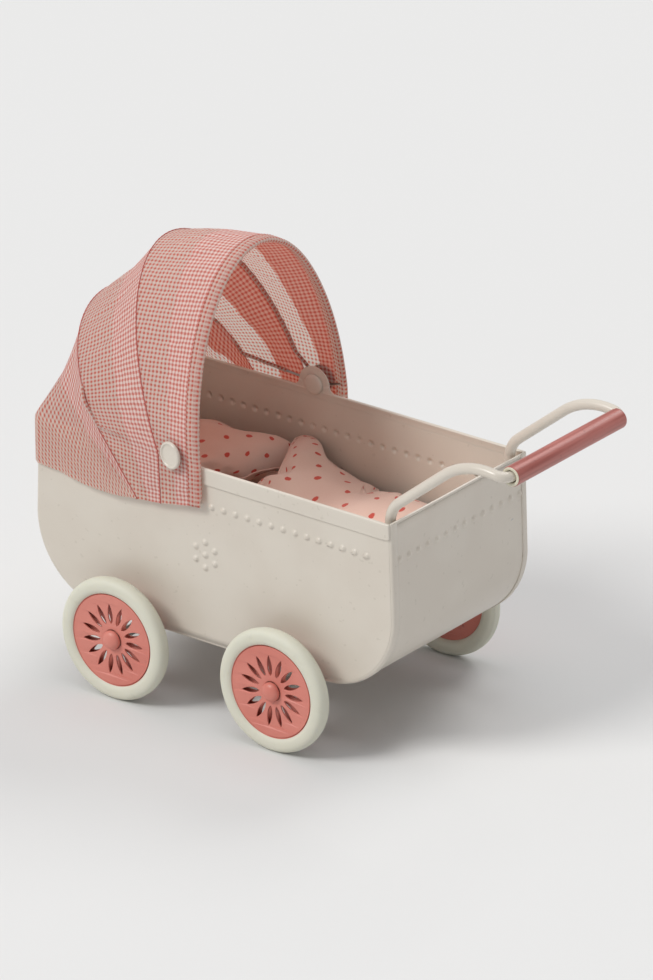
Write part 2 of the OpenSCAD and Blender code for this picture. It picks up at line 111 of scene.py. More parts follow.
class Shader:
    """A material and short calls that add and join its nodes."""

    def __init__(self, name):
        self.material = bpy.data.materials.new(name)
        self.material.use_nodes = True
        self.tree = self.material.node_tree
        self.tree.nodes.clear()
        self.out = self.tree.nodes.new("ShaderNodeOutputMaterial")

    def node(self, kind, settings=None, **sockets):
        n = self.tree.nodes.new("ShaderNode" + kind)
        for key, value in (settings or {}).items():
            setattr(n, key, value)
        for key, value in sockets.items():
            self.put(n, key.replace("_", " "), value)
        return n

    def put(self, n, key, value):
        socket = n.inputs[int(key)] if key.isdigit() else n.inputs[key]
        if isinstance(value, bpy.types.NodeSocket):
            self.tree.links.new(value, socket)
        else:
            socket.default_value = value

    def maths(self, operation, a, b=0.0):
        n = self.node("Math", {"operation": operation})
        self.put(n, "0", a)
        self.put(n, "1", b)
        return n.outputs[0]

    def plus(self, a, b):
        return self.maths("ADD", a, b)

    def times(self, a, b):
        return self.maths("MULTIPLY", a, b)

    def wave(self, value, length):
        """Sine of a value with the given wavelength."""
        return self.maths("SINE", self.times(value, 2 * math.pi / length))

    def mix(self, factor, a, b):
        n = self.node("Mix", {"data_type": "RGBA", "blend_type": "MIX"})
        self.put(n, "0", factor)
        self.put(n, "6", a)
        self.put(n, "7", b)
        return n.outputs[2]

    def ramp(self, value, low, high, out_low=0.0, out_high=1.0):
        n = self.node("MapRange", {"interpolation_type": "SMOOTHSTEP"})
        for key, v in (("0", value), ("1", low), ("2", high), ("3", out_low), ("4", out_high)):
            self.put(n, key, v)
        return n.outputs[0]

    def noise(self, scale, detail=2.0, rough=0.5, vector=None):
        n = self.node("TexNoise", Scale=scale, Detail=detail, Roughness=rough)
        self.put(n, "Vector", vector if vector is not None else self.position())
        return n.outputs["Fac"]

    def position(self):
        return self.node("TexCoord").outputs["Object"]

    def streaks(self, scale, detail):
        """Fine grain that is drawn out along the piece."""
        stretch = self.node("Mapping", Vector=self.position(), Scale=scale)
        return self.noise(1.0, detail, vector=stretch.outputs[0])

    def weave(self):
        """Millimetres along and across the threads, and 1 on the front half of a pleat, where shade is
        painted.
        """
        n = self.node("Attribute", {"attribute_name": "weave"})
        return self.node("SeparateXYZ", Vector=n.outputs["Vector"]).outputs[:3]

    def threads(self, u, v, pitch):
        """Tiny checker of raised threads."""
        return self.times(self.wave(u, pitch), self.wave(v, pitch))

    def bump(self, height, strength, distance):
        n = self.node("Bump", Strength=strength, Distance=distance * MM, Height=height)
        return n.outputs[0]

    def surface(self, shader):
        self.tree.links.new(shader, self.out.inputs["Surface"])
        return self.material

    def principled(self, colour, roughness, **more):
        p = self.node("BsdfPrincipled", Base_Color=colour, Roughness=roughness, **more)
        return self.surface(p.outputs[0])


def rgb(r, g, b):
    return (r, g, b, 1.0)


def paint(name, base, dark, light, fleck, rough=(0.3, 0.42), coat=0.25):
    """Stove enamel: slow shade changes, fine orange peel, a few specks and a painted highlight on convex
    edges.
    """
    s = Shader(name)
    slow = s.noise(38.0, 3.0)
    colour = s.mix(0.5, s.mix(s.ramp(slow, 0.35, 0.65), dark, light), base)
    speck = s.ramp(s.noise(520.0, 1.0, 0.4), 0.70, 0.76)
    colour = s.mix(s.times(speck, 0.35), colour, fleck)
    # Painted highlight: convex edges are mixed toward the light tone.
    edge_highlight = s.ramp(s.node("NewGeometry").outputs["Pointiness"], 0.53, 0.60)
    height = s.plus(s.times(s.noise(900.0), 0.35), s.noise(140.0))
    return s.principled(s.mix(s.times(edge_highlight, 0.35), colour, light), s.ramp(slow, 0.3, 0.7, *rough),
                        Coat_Weight=coat, Coat_Roughness=0.25, Normal=s.bump(height, 0.5, 0.03))


def make_steel():
    s = Shader("bare_steel")
    streak = s.streaks((300.0, 3000.0, 300.0), 2.0)
    return s.principled(s.mix(streak, rgb(0.42, 0.41, 0.39), rgb(0.60, 0.59, 0.57)),
                        s.ramp(streak, 0.3, 0.7, 0.28, 0.42), Metallic=1.0, Normal=s.bump(streak, 0.3, 0.02))


def make_tyre():
    s = Shader("tyre_rubber")
    slow = s.noise(60.0, 3.0, 0.55)
    dust = s.ramp(s.noise(220.0, 4.0, 0.6), 0.58, 0.75)
    colour = s.mix(slow, rgb(0.66, 0.65, 0.54), rgb(0.74, 0.73, 0.62))
    colour = s.mix(s.times(dust, 0.2), colour, rgb(0.47, 0.45, 0.36))
    return s.principled(colour, s.ramp(slow, 0.3, 0.7, 0.5, 0.62), Subsurface_Weight=0.12,
                        Subsurface_Radius=(0.0015, 0.0012, 0.0008),
                        Normal=s.bump(s.plus(s.noise(1500.0), slow), 0.35, 0.03))


def make_grip_paint():
    s = Shader("grip_paint")
    streak = s.streaks((900.0, 35.0, 900.0), 3.0)
    colour = s.mix(s.ramp(streak, 0.3, 0.7), rgb(0.37, 0.10, 0.08), rgb(0.50, 0.165, 0.14))
    speck = s.ramp(s.noise(420.0), 0.68, 0.74)
    return s.principled(s.mix(s.times(speck, 0.4), colour, rgb(0.25, 0.06, 0.05)),
                        s.ramp(streak, 0.3, 0.7, 0.34, 0.5), Coat_Weight=0.2, Coat_Roughness=0.3,
                        Normal=s.bump(streak, 0.5, 0.05))


def make_grip_core():
    s = Shader("grip_core")
    grain = s.noise(700.0, 3.0, 0.6)
    return s.principled(s.mix(grain, rgb(0.66, 0.62, 0.47), rgb(0.76, 0.73, 0.60)),
                        s.ramp(grain, 0.3, 0.7, 0.45, 0.6), Normal=s.bump(grain, 0.4, 0.03))


# Repeat of the woven check, and the spacing of the printed dots.
CHECK = 1.45
DOT_ROW, DOT_COLUMN = 5.0, 9.6


def make_check_cloth():
    """Small woven check, thin enough for light to come through it, with shade painted on the front half of
    each pleat.
    """
    s = Shader("check_cloth")
    u, v, pleat_shade = s.weave()
    wobble = s.times(s.maths("SUBTRACT", s.noise(260.0, 1.0, 0.4), 0.5), 0.5)
    warp, weft = (s.ramp(s.wave(s.plus(c, wobble), CHECK), -0.56, 0.56) for c in (u, v))
    slub = s.noise(1700.0, 2.0, 0.6)
    shade = s.plus(s.times(s.plus(warp, weft), 0.5), s.times(s.maths("SUBTRACT", slub, 0.5), 0.30))
    deep = s.ramp(shade, 0.02, 0.98)
    single = s.mix(s.ramp(shade, 0.45, 1.1), rgb(1.0, 0.93, 0.84), rgb(0.90, 0.20, 0.11))
    # Painted shade: the light through the front half of each pleat is a deeper red.
    pleat_shade_colour = s.mix(deep, rgb(0.95, 0.30, 0.18), rgb(0.75, 0.06, 0.03))
    height = s.plus(s.times(s.threads(u, v, 0.24), 0.5), s.times(slub, 0.8))
    normal = s.bump(height, 0.55, 0.10)
    face = s.node("BsdfPrincipled", Base_Color=s.mix(deep, rgb(0.93, 0.83, 0.78), rgb(0.70, 0.225, 0.18)),
                  Roughness=0.85, Normal=normal, Specular_IOR_Level=0.2, Sheen_Weight=0.25,
                  Sheen_Roughness=0.5)
    light = s.node("BsdfTranslucent", Color=s.mix(pleat_shade, single, pleat_shade_colour), Normal=normal)
    both_sides = s.node("MixShader")
    # Painted shade: the front half of each pleat lets less light through.
    s.put(both_sides, "0", s.ramp(pleat_shade, 0.0, 1.0, 0.50, 0.30))
    s.put(both_sides, "1", face.outputs[0])
    s.put(both_sides, "2", light.outputs[0])
    return s.surface(both_sides.outputs[0])


def make_seam_thread():
    s = Shader("seam_thread")
    u, v, _ = s.weave()
    twist = s.wave(s.plus(u, v), 0.5)
    return s.principled(s.mix(s.ramp(twist, -1.0, 1.0), rgb(0.42, 0.05, 0.04), rgb(0.64, 0.13, 0.10)), 0.8,
                        Sheen_Weight=0.3, Normal=s.bump(twist, 0.5, 0.06))


def make_cotton(name, dots):
    """Plain pale rose cotton; with dots, small red ovals in staggered rows."""
    s = Shader(name)
    u, v, _ = s.weave()
    slub = s.noise(1500.0, 3.0, 0.6)
    colour = s.mix(s.noise(90.0, 3.0, 0.55), rgb(0.72, 0.475, 0.385), rgb(0.80, 0.565, 0.47))
    colour = s.mix(s.times(slub, 0.35), colour, rgb(0.86, 0.66, 0.58))
    if dots:
        wander = s.times(s.maths("SUBTRACT", s.noise(210.0, 1.0), 0.5), 1.3)
        row = s.maths("DIVIDE", s.plus(v, wander), DOT_ROW)
        odd = s.times(s.maths("MODULO", s.maths("FLOOR", row), 2.0), 0.5)
        column = s.plus(s.maths("DIVIDE", s.plus(u, wander), DOT_COLUMN), odd)
        du = s.times(s.maths("SUBTRACT", s.maths("FRACT", column), 0.5), DOT_COLUMN)
        dv = s.times(s.maths("SUBTRACT", s.maths("FRACT", row), 0.5), DOT_ROW)
        far = s.maths("SQRT", s.plus(s.times(du, du), s.times(dv, dv)))
        spot = s.ramp(s.plus(far, s.times(slub, 0.4)), 0.92, 1.18, 1.0, 0.0)
        colour = s.mix(spot, colour, rgb(0.60, 0.085, 0.06))
    height = s.plus(s.times(s.threads(u, v, 0.22), 0.4), slub)
    return s.principled(colour, 0.9, Specular_IOR_Level=0.15, Sheen_Weight=0.3, Sheen_Roughness=0.5,
                        Normal=s.bump(height, 0.5, 0.09))


ENAMEL = paint("enamel", rgb(0.685, 0.625, 0.545), rgb(0.66, 0.60, 0.52), rgb(0.72, 0.67, 0.59),
               rgb(0.53, 0.48, 0.40))
WHEEL_PAINT = paint("wheel_paint", rgb(0.66, 0.20, 0.155), rgb(0.59, 0.17, 0.13), rgb(0.72, 0.27, 0.215),
                    rgb(0.5, 0.14, 0.10), rough=(0.34, 0.46), coat=0.15)
STEEL = make_steel()
TYRE = make_tyre()
GRIP_PAINT = make_grip_paint()
GRIP_CORE = make_grip_core()
CHECK_CLOTH = make_check_cloth()
SEAM_THREAD = make_seam_thread()
DOTTED = make_cotton("dotted_cotton", True)
PLAIN = make_cotton("mattress_cotton", False)


# ---- mesh helpers -----------------------------------------------------------


def new_piece(name, points, faces, *materials, weave=None, fixed=True, face_material=None):
    """A mesh object from points in millimetres; fixed makes its faces look outwards."""
    mesh = bpy.data.meshes.new(name)
    mesh.from_pydata((np.asarray(points, float) * MM).tolist(), [], [list(map(int, f)) for f in faces])
    for material in materials:
        mesh.materials.append(material)
    mesh.polygons.foreach_set("use_smooth", [True] * len(mesh.polygons))
    if face_material is not None:
        mesh.polygons.foreach_set("material_index", [int(i) for i in face_material])
    if weave is not None:
        put_weave(mesh, weave)
    mesh.update()
    if fixed:
        work = bmesh.new()
        work.from_mesh(mesh)
        bmesh.ops.recalc_face_normals(work, faces=work.faces)
        work.to_mesh(mesh)
        work.free()
    return shown(bpy.data.objects.new(name, mesh))


def shown(thing):
    bpy.context.scene.collection.objects.link(thing)
    return thing


def put_weave(mesh, weave):
    weave = np.asarray(weave, float)
    weave = weave.reshape(-1, weave.shape[-1])
    flat = np.zeros((len(mesh.vertices), 3), np.float32)
    flat[:, :weave.shape[1]] = weave
    layer = mesh.attributes.new("weave", "FLOAT_VECTOR", "POINT")
    layer.data.foreach_set("vector", flat.ravel())


def grid_faces(rows, columns, wrap_rows=False, wrap_columns=False, start=0, flip=False):
    faces = []
    for i in range(rows if wrap_rows else rows - 1):
        for j in range(columns if wrap_columns else columns - 1):
            a, d = start + i * columns, start + ((i + 1) % rows) * columns
            k = (j + 1) % columns
            face = (a + j, a + k, d + k, d + j)
            faces.append((face[0], face[3], face[2], face[1]) if flip else face)
    return faces


def closed_tube(rows, columns):
    """Faces of a grid whose rows are rings, with its first and last ring closed."""
    faces = grid_faces(rows, columns, wrap_columns=True)
    return faces + end_faces(rows, columns)


def end_faces(rows, columns):
    return [tuple(range(columns)), tuple(range((rows - 1) * columns, rows * columns))]


def lengths(line):
    """Distance along a line at each of its points."""
    step = np.linalg.norm(np.diff(line, axis=0), axis=1)
    return np.concatenate([[0], np.cumsum(step)])


def unit(v):
    return v / np.maximum(np.linalg.norm(v, axis=-1, keepdims=True), 1e-9)


def grid_normals(p, inside):
    """Normals of a grid of points, turned away from the point inside."""
    n = unit(np.cross(np.gradient(p, axis=1), np.gradient(p, axis=0)))
    away = np.sign(np.sum(n * (p - inside), axis=-1, keepdims=True))
    return n * np.where(away == 0, 1, away)


def shell(name, p, thickness, material, inside):
    """Closed sheet: the grid p is its outer face, the point inside is on its inner side."""
    rows, columns = p.shape[:2]
    inner = p - grid_normals(p, inside) * thickness
    points = np.concatenate([p.reshape(-1, 3), inner.reshape(-1, 3)])
    count = rows * columns
    faces = grid_faces(rows, columns) + grid_faces(rows, columns, start=count, flip=True)
    edge = (list(range(columns)) + [i * columns + columns - 1 for i in range(1, rows)]
            + [(rows - 1) * columns + j for j in range(columns - 2, -1, -1)]
            + [i * columns for i in range(rows - 2, 0, -1)])
    for a, b in zip(edge, edge[1:] + edge[:1]):
        faces.append((b, a, a + count, b + count))
    return new_piece(name, points, faces, material)


def tube(name, path, radius, material, sides=20, first_side=(0, 0, 1)):
    """Round rod along a path, with its section carried without twist; radius may change along it."""
    path = np.asarray(path, float)
    radius = np.broadcast_to(np.asarray(radius, float), (len(path),))
    angle = np.arange(sides) * 2 * math.pi / sides
    side = np.array(first_side, float)
    points = []
    for centre, ahead, r in zip(path, unit(np.gradient(path, axis=0)), radius):
        side = side - ahead * (side @ ahead)
        side = side / np.linalg.norm(side)
        ring = np.cos(angle)[:, None] * side + np.sin(angle)[:, None] * np.cross(ahead, side)
        points.append(centre + ring * r)
    faces = grid_faces(len(path), sides, wrap_columns=True)
    faces.append(tuple(range(sides)))
    faces.append(tuple(range(len(path) * sides - 1, (len(path) - 1) * sides - 1, -1)))
    weave = np.stack(np.broadcast_arrays(lengths(path)[:, None], np.arange(sides)[None] * 0.3), -1)
    return new_piece(name, np.concatenate(points), faces, material, weave=weave)


def revolve(name, profile, centre, side, material, steps=96):
    """Turns (radius, outward) points round the wheel's axis; side is -1 near, 1 far."""
    profile = np.asarray(profile, float)
    angle = np.arange(steps) * 2 * math.pi / steps
    x = centre[0] + profile[None, :, 0] * np.cos(angle)[:, None]
    z = centre[2] + profile[None, :, 0] * np.sin(angle)[:, None]
    y = centre[1] + side * np.broadcast_to(profile[None, :, 1], x.shape)
    return new_piece(name, np.stack([x, y, z], -1).reshape(-1, 3),
                     grid_faces(steps, len(profile), wrap_rows=True), material)


def bake_modifiers(piece):
    """Replaces a piece's mesh with the shape its modifiers give."""
    graph = bpy.context.evaluated_depsgraph_get()
    mesh = bpy.data.meshes.new_from_object(piece.evaluated_get(graph), depsgraph=graph)
    piece.modifiers.clear()
    piece.data = mesh


def settle(piece, body, slot, *nodes):
    """Hides the CAD nodes a piece stands for and hangs it on the body it rides on; the finish given as slot
    is not used.
    """
    if nodes:
        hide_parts(*nodes)
    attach(piece, body)
    return piece


def spaced(low, high, coarse, fine=(), step=0.3):
    """Values from low to high, coarse apart except within the fine spans."""
    values = list(np.linspace(low, high, max(2, int(round((high - low) / coarse)) + 1)))
    for a, b in fine:
        values = [v for v in values if v <= a or v >= b]
        values += list(np.arange(a, b, step))
    return np.unique(np.round([v for v in values if low <= v <= high], 4))


# ---- tub --------------------------------------------------------------------


def outline():
    """Side view of the tub, without its rim edge."""
    points = [(-RIM_LEN / 2, RIM_Z)]
    for cx, start in ((-CORNER_X, 180), (CORNER_X, 270)):
        for a in np.radians(np.arange(start, start + 92, 4.0)):
            points.append((cx + CORNER_R * math.cos(a), CORNER_Z + CORNER_R * math.sin(a)))
    return np.array(points + [(RIM_LEN / 2, RIM_Z)])


def densify(points, longest):
    """Adds points so that no stretch is longer than longest."""
    out = [points[0]]
    for a, b in zip(points[:-1], points[1:]):
        n = max(1, int(math.ceil(np.linalg.norm(b - a) / longest)))
        out += [a + (b - a) * k / n for k in range(1, n + 1)]
    return np.array(out)


def half_length(z, inset):
    """Half the length of the side panel at height z."""
    r = CORNER_R - inset
    low = CORNER_Z - r
    z = np.clip(z, low, RIM_Z)
    wall = TUB_LEN / 2 - (z - CORNER_Z) / (RIM_Z - CORNER_Z) * (TUB_LEN - RIM_LEN) / 2 - inset
    curve = CORNER_X + np.sqrt(np.maximum(r * r - (CORNER_Z - z) ** 2, 0))
    return np.where(z >= CORNER_Z, wall, curve)


def pressing(d):
    """Height of one round pressing at the distance d from its middle."""
    t = np.clip(1 - (d / BUMP_R) ** 2, 0, 1)
    return BUMP_OUT * t ** 1.15


def side_relief(x, z):
    h = np.zeros_like(x)
    for i in range(SIDE_BUMPS):
        h += pressing(np.hypot(x - (i - (SIDE_BUMPS - 1) / 2) * SIDE_PITCH, z - BUMP_Z))
    x0, z0 = FLOWER
    h += pressing(np.hypot(x - x0, z - z0))
    for a in np.radians(np.arange(30, 360, 60)):
        h += pressing(np.hypot(x - x0 - FLOWER_R * math.cos(a), z - z0 - FLOWER_R * math.sin(a)))
    slow = np.sin(x / 23.0 + 0.6) * np.sin(z / 17.0 + 1.1) + 0.6 * np.sin(x / 11.0 + 2.0) * np.sin(z / 29.0)
    return h + 0.06 * slow


EDGE_R = 1.1
EDGE_OUT = 0.3
FACE_INSET = EDGE_R - EDGE_OUT


def make_side(word, sy):
    """Pressed side panel with its rounded edge, turned lip, folded hem and pivot ear."""
    low = CORNER_Z - (CORNER_R - FACE_INSET)
    z = spaced(low, RIM_Z - 1.0, 2.2, [(BUMP_Z - 1.5, BUMP_Z + 1.5), (FLOWER[1] - 6, FLOWER[1] + 6)], 0.27)
    u = np.linspace(-1, 1, 471)
    zz, uu = np.meshgrid(z, u, indexing="ij")
    xx = uu * half_length(zz, FACE_INSET)
    y = sy * (HALF_W + side_relief(xx, zz))
    panel = shell(f"tub_side_{word}_panel", np.stack([xx, y, zz], -1), SHEET - 0.1, ENAMEL,
                  np.array([0.0, 0.0, 50.0]))
    settle(panel, "tub", "enamel", f"tub_side_{word}")

    points = densify(outline(), 3.0)
    normals = outward(points)
    rings = [(-FACE_INSET - 0.6, 0.0), (-FACE_INSET, 0.0)]
    for a in np.radians(np.linspace(7.5, 90, 12)):
        rings.append((-FACE_INSET + EDGE_R * math.sin(a), EDGE_R * (1 - math.cos(a))))
    rings += [(EDGE_OUT, 2.0), (EDGE_OUT, 2.9), (EDGE_OUT - 0.12, 3.0), (0.0, 3.0), (-0.1, 1.2)]
    band = []
    for out, depth in rings:
        x, z = (points + normals * out).T
        band.append(np.stack([x, np.full(len(x), sy * (HALF_W - depth)), z], -1))
    faces = grid_faces(len(rings), len(points))
    settle(new_piece(f"tub_side_{word}_edge", np.concatenate(band), faces, ENAMEL), "tub", "enamel")

    make_side_hem(word, sy)
    make_ear(word, sy)


def outward(points):
    ahead = unit(np.gradient(points, axis=0))
    return np.stack([ahead[:, 1], -ahead[:, 0]], 1)


def make_side_hem(word, sy):
    """Top edge folded out and down, with a round fold and a soft lower lip."""
    profile = [(HALF_W - SHEET, RIM_Z - 2.5), (HALF_W - SHEET, RIM_Z - 0.5)]
    for a in np.radians(np.linspace(180, 0, 11)):
        profile.append((HALF_W + 0.62 * math.cos(a), RIM_Z - 0.45 + 0.5 * math.sin(a)))
    profile += [(HEM_OUT + 0.02, RIM_Z - 1.6), (HEM_OUT, RIM_Z - HEM_H / 2), (HEM_OUT, RIM_Z - HEM_H + 0.5)]
    for a in np.radians(np.linspace(0, -90, 6)):
        profile.append((HEM_OUT - 0.28 + 0.28 * math.cos(a), RIM_Z - HEM_H + 0.28 + 0.28 * math.sin(a)))
    profile.append((HALF_W - 0.1, RIM_Z - HEM_H + 0.12))
    profile = np.array(profile)
    x = np.concatenate([[-1, -0.998], np.linspace(-0.99, 0.99, 60), [0.998, 1]])
    pull = np.interp(np.abs(x), [0, 0.98, 0.998, 1], [0, 0, 0.12, 0.35])
    rows = []
    for k, (s, p) in enumerate(zip(x, pull)):
        middle = np.array([HALF_W, RIM_Z - 0.5])
        q = profile + (middle - profile) * p * 0.8
        length = half_length(q[:, 1], 0.35)
        wave = 0.04 * math.sin(k * 0.55) + 0.03 * math.sin(k * 0.21 + 1)
        rows.append(np.stack([s * length, sy * (q[:, 0] + wave * (q[:, 0] > HALF_W + 0.3)), q[:, 1]], 1))
    shape = (len(rows), len(profile))
    faces = grid_faces(*shape) + end_faces(*shape)
    settle(new_piece(f"tub_side_{word}_hem", np.concatenate(rows), faces, ENAMEL), "tub", "enamel")


def make_ear(word, sy):
    """Ear plate with filleted feet and a softened edge."""
    fillet = 2.5
    away = math.sqrt((EAR_R + fillet) ** 2 - (RIM_Z + fillet - PIVOT_Z) ** 2)
    start = math.degrees(math.atan2(RIM_Z + fillet - PIVOT_Z, away))
    shape = [(away, RIM_Z - 4.0)]
    for a in np.radians(np.linspace(-90, -180 + start, 9)):
        shape.append((away + fillet * math.cos(a), RIM_Z + fillet + fillet * math.sin(a)))
    for a in np.radians(np.linspace(start, 180 - start, 41)):
        shape.append((EAR_R * math.cos(a), PIVOT_Z + EAR_R * math.sin(a)))
    shape += [(-x, z) for x, z in shape[:10][::-1]]
    shape = np.array(shape)
    middle = np.array([0.0, PIVOT_Z - 2.0])
    rings = [(0.5, 0.0), (0.12, 0.0), (0.03, 0.05), (0.0, 0.14), (0.0, SHEET - 0.22), (0.03, SHEET - 0.13),
             (0.12, SHEET - 0.08), (0.5, SHEET - 0.08)]
    inner_face = HALF_W - SHEET + 0.13
    points = []
    for pull, depth in rings:
        away_from = unit(shape - middle)
        q = shape - away_from * pull if pull < 0.5 else middle + (shape - middle) * 0.5
        for x, z in q:
            points.append((PIVOT_X + x, sy * (inner_face + depth), z))
    ear = new_piece(f"hood_ear_{word}", points, closed_tube(len(rings), len(shape)), ENAMEL)
    settle(ear, "tub", "enamel")


def make_wrap():
    """Head wall, floor and foot wall from one sheet, with end pressings."""
    wall_z = spaced(CORNER_Z, RIM_Z - 0.3, 3.0, [(BUMP_Z - 1.5, BUMP_Z + 1.5)], 0.27)
    path = []
    slope = (TUB_LEN - RIM_LEN) / 2 / (RIM_Z - CORNER_Z)
    for z in wall_z[::-1]:
        path.append((-TUB_LEN / 2 + (z - CORNER_Z) * slope, z))
    for a in np.radians(np.arange(186, 270, 6)):
        path.append((-CORNER_X + CORNER_R * math.cos(a), CORNER_Z + CORNER_R * math.sin(a)))
    for x in np.linspace(-CORNER_X, CORNER_X, 16):
        path.append((x, FLOOR_Z))
    path += [(-x, z) for x, z in path[:len(wall_z) + 14][::-1]]
    path = np.array(path)
    normals = outward(path)
    y = np.linspace(-HALF_W + SHEET, HALF_W - SHEET, 203)
    relief = np.zeros((len(path), len(y)))
    for i in range(END_BUMPS):
        middle = (i - (END_BUMPS - 1) / 2) * END_PITCH
        relief += pressing(np.hypot(path[:, 1][:, None] - BUMP_Z, y[None] - middle))
    relief += 0.05 * np.sin(path[:, 1][:, None] / 13.0) * np.sin(y[None] / 12.0 + 0.8)
    p = np.zeros((len(path), len(y), 3))
    p[..., 0] = path[:, 0][:, None] + normals[:, 0][:, None] * relief
    p[..., 1] = y[None]
    p[..., 2] = path[:, 1][:, None] + normals[:, 1][:, None] * relief
    wrap = shell("tub_end_and_floor_sheet", p, SHEET, ENAMEL, np.array([0.0, 0.0, 55.0]))
    settle(wrap, "tub", "enamel", "tub_wrap")
    for s, word in ((-1, "head"), (1, "foot")):
        top = [(s * (RIM_LEN / 2 - 0.35), yy, RIM_Z - 0.42 + 0.05 * math.sin(yy / 7.0))
               for yy in np.linspace(-HALF_W + 0.5, HALF_W - 0.5, 40)]
        roll = tube(f"tub_{word}_rim_roll", top, 0.52, ENAMEL, 16)
        settle(roll, "tub", "enamel")


# ---- wheels -----------------------------------------------------------------

TYRE_LOW, TYRE_HIGH = corners("wheel_foot_near_tyre")
TYRE_R = (TYRE_HIGH[2] - TYRE_LOW[2]) / 2
TYRE_HALF = (TYRE_HIGH[1] - TYRE_LOW[1]) / 2
DISC_R = 15.0
PETALS = 15
HUB_HOLE_R = 3.4
SLOT_IN, SLOT_OUT, SLOT_HALF = 4.9, 12.25, 1.05


def petal_outline():
    """One slot, pointed at the hub and rounder at the rim."""
    t = np.linspace(0, 1, 14)
    half = SLOT_HALF * np.sin(math.pi * t ** 0.85) ** 0.72
    r = SLOT_IN + (SLOT_OUT - SLOT_IN) * t
    return np.concatenate([np.stack([r, half], 1), np.stack([r, -half], 1)[::-1][1:-1]])


def disc_curve(name, material, y_face, side, centre):
    """Stamped disc cut from a flat outline, with a turned edge round every slot."""
    data = bpy.data.curves.new(name, "CURVE")
    data.dimensions = "2D"
    data.fill_mode = "BOTH"
    data.extrude = 0.16 * MM
    data.bevel_depth = 0.14 * MM
    data.bevel_resolution = 2
    loops = [[(DISC_R * math.cos(a), DISC_R * math.sin(a)) for a in np.arange(120) * math.pi / 60]]
    loops.append([(HUB_HOLE_R * math.cos(a), HUB_HOLE_R * math.sin(a))
                  for a in np.arange(40) * math.pi / 20][::-1])
    for k in range(PETALS):
        a = 2 * math.pi * k / PETALS
        turn = np.array([[math.cos(a), math.sin(a)], [-math.sin(a), math.cos(a)]])
        loops.append((petal_outline() @ turn).tolist())
    for loop in loops:
        spline = data.splines.new("POLY")
        spline.points.add(len(loop) - 1)
        for point, (x, y) in zip(spline.points, loop):
            point.co = (x * MM, y * MM, 0, 1)
        spline.use_cyclic_u = True
    curve = shown(bpy.data.objects.new(name + "_curve", data))
    bpy.context.view_layer.update()
    mesh = bpy.data.meshes.new_from_object(curve.evaluated_get(bpy.context.evaluated_depsgraph_get()))
    bpy.data.objects.remove(curve)
    work = bmesh.new()
    work.from_mesh(mesh)
    bmesh.ops.remove_doubles(work, verts=work.verts, dist=0.002 * MM)
    for v in work.verts:
        x, z, out = v.co.x / MM, v.co.y / MM, v.co.z / MM
        r = math.hypot(x, z)
        dish = 0.35 * max(0.0, 1 - r / DISC_R) ** 0.5 - 0.25 * max(0.0, (r - 13.6) / 1.4) ** 2
        v.co = Vector((centre[0] + x, centre[1] + side * (y_face - 0.3 + out + dish), centre[2] + z)) * MM
    bmesh.ops.recalc_face_normals(work, faces=work.faces)
    for f in work.faces:
        f.smooth = len(f.verts) == 4
    work.to_mesh(mesh)
    work.free()
    mesh.name = name
    mesh.materials.clear()
    mesh.materials.append(material)
    return shown(bpy.data.objects.new(name, mesh))


def tyre_profile():
    """Closed loop of (radius, outward) round the tyre's section, with a mould line."""
    middle = (DISC_R + TYRE_R) / 2
    half = (TYRE_R - DISC_R) / 2
    points = []
    for a in np.arange(0, 360, 7.5):
        c, s = math.cos(math.radians(a)), math.sin(math.radians(a))
        r = middle + half * math.copysign(abs(c) ** 0.85, c)
        y = TYRE_HALF * math.copysign(abs(s) ** 0.80, s)
        points.append((r, y))
        if a == 322.5:
            points += [(r + 0.13, y + 0.05), (r + 0.16, y + 0.22), (r + 0.02, y + 0.34)]
    return points + points[:1]


def make_wheel(end, word, side):
    body = f"wheel_{end}_{word}"
    centre = joint_place(body + "_spin")
    tyre = revolve(body + "_tyre_moulded", tyre_profile(), centre, side, TYRE, 128)
    settle(tyre, body, "tyre_rubber", body + "_tyre")
    face = (corners(body + "_outer_disc")[1][1] - corners(body + "_inner_disc")[0][1]) / 2
    for name, turned in (("outer", 1), ("inner", -1)):
        disc = disc_curve(f"{body}_{name}_disc_stamped", WHEEL_PAINT, face, side * turned, centre)
        settle(disc, body, "wheel_paint", f"{body}_{name}_disc")
        ring = revolve(f"{body}_{name}_disc_bead",
                       [(DISC_R - 0.5, face - 0.45), (DISC_R - 0.1, face - 0.2), (DISC_R + 0.15, face - 0.3),
                        (DISC_R + 0.5, face - 0.9)], centre, side * turned, WHEEL_PAINT)
        settle(ring, body, "wheel_paint")
        hub = revolve(f"{body}_{name}_hub_boss",
                      [(5.05, face - 0.05), (4.7, face + 0.12), (4.3, face + 0.36), (3.9, face + 0.62),
                       (3.55, face + 0.72), (3.3, face + 0.70), (3.1, face + 0.55), (1.3, face + 0.5)],
                      centre, side * turned, WHEEL_PAINT)
        settle(hub, body, "wheel_paint")


def make_caps():
    """Domed press-on caps at the four axle ends."""
    high = corners("axle_caps")[1]
    for end in ("head", "foot"):
        for word, side in SIDES:
            centre = joint_place(f"wheel_{end}_{word}_spin")
            base = 1.6
            top = high[1] - abs(centre[1])
            dome = [(3.15, base), (3.2, base + 0.25)]
            for a in np.radians(np.linspace(12, 88, 9)):
                dome.append((3.15 * math.cos(a) ** 0.8, base + 0.3 + (top - base - 0.3) * math.sin(a)))
            dome.append((0.02, top))
            cap = revolve(f"axle_cap_{end}_{word}", dome, centre, side, WHEEL_PAINT, 64)
            settle(cap, "tub", "wheel_paint", *(["axle_caps"] if (end, word) == ("head", "near") else []))


# ---- handle -----------------------------------------------------------------

ROD_R = 1.7
ARM_Y = (ROD_HIGH[1] - ROD_LOW[1]) / 2 - ROD_R + 0.01


def turn_arc(centre, r, a0, a1, steps):
    return [(centre[0] + r * math.cos(a), centre[1] + r * math.sin(a))
            for a in np.radians(np.linspace(a0, a1, steps))]


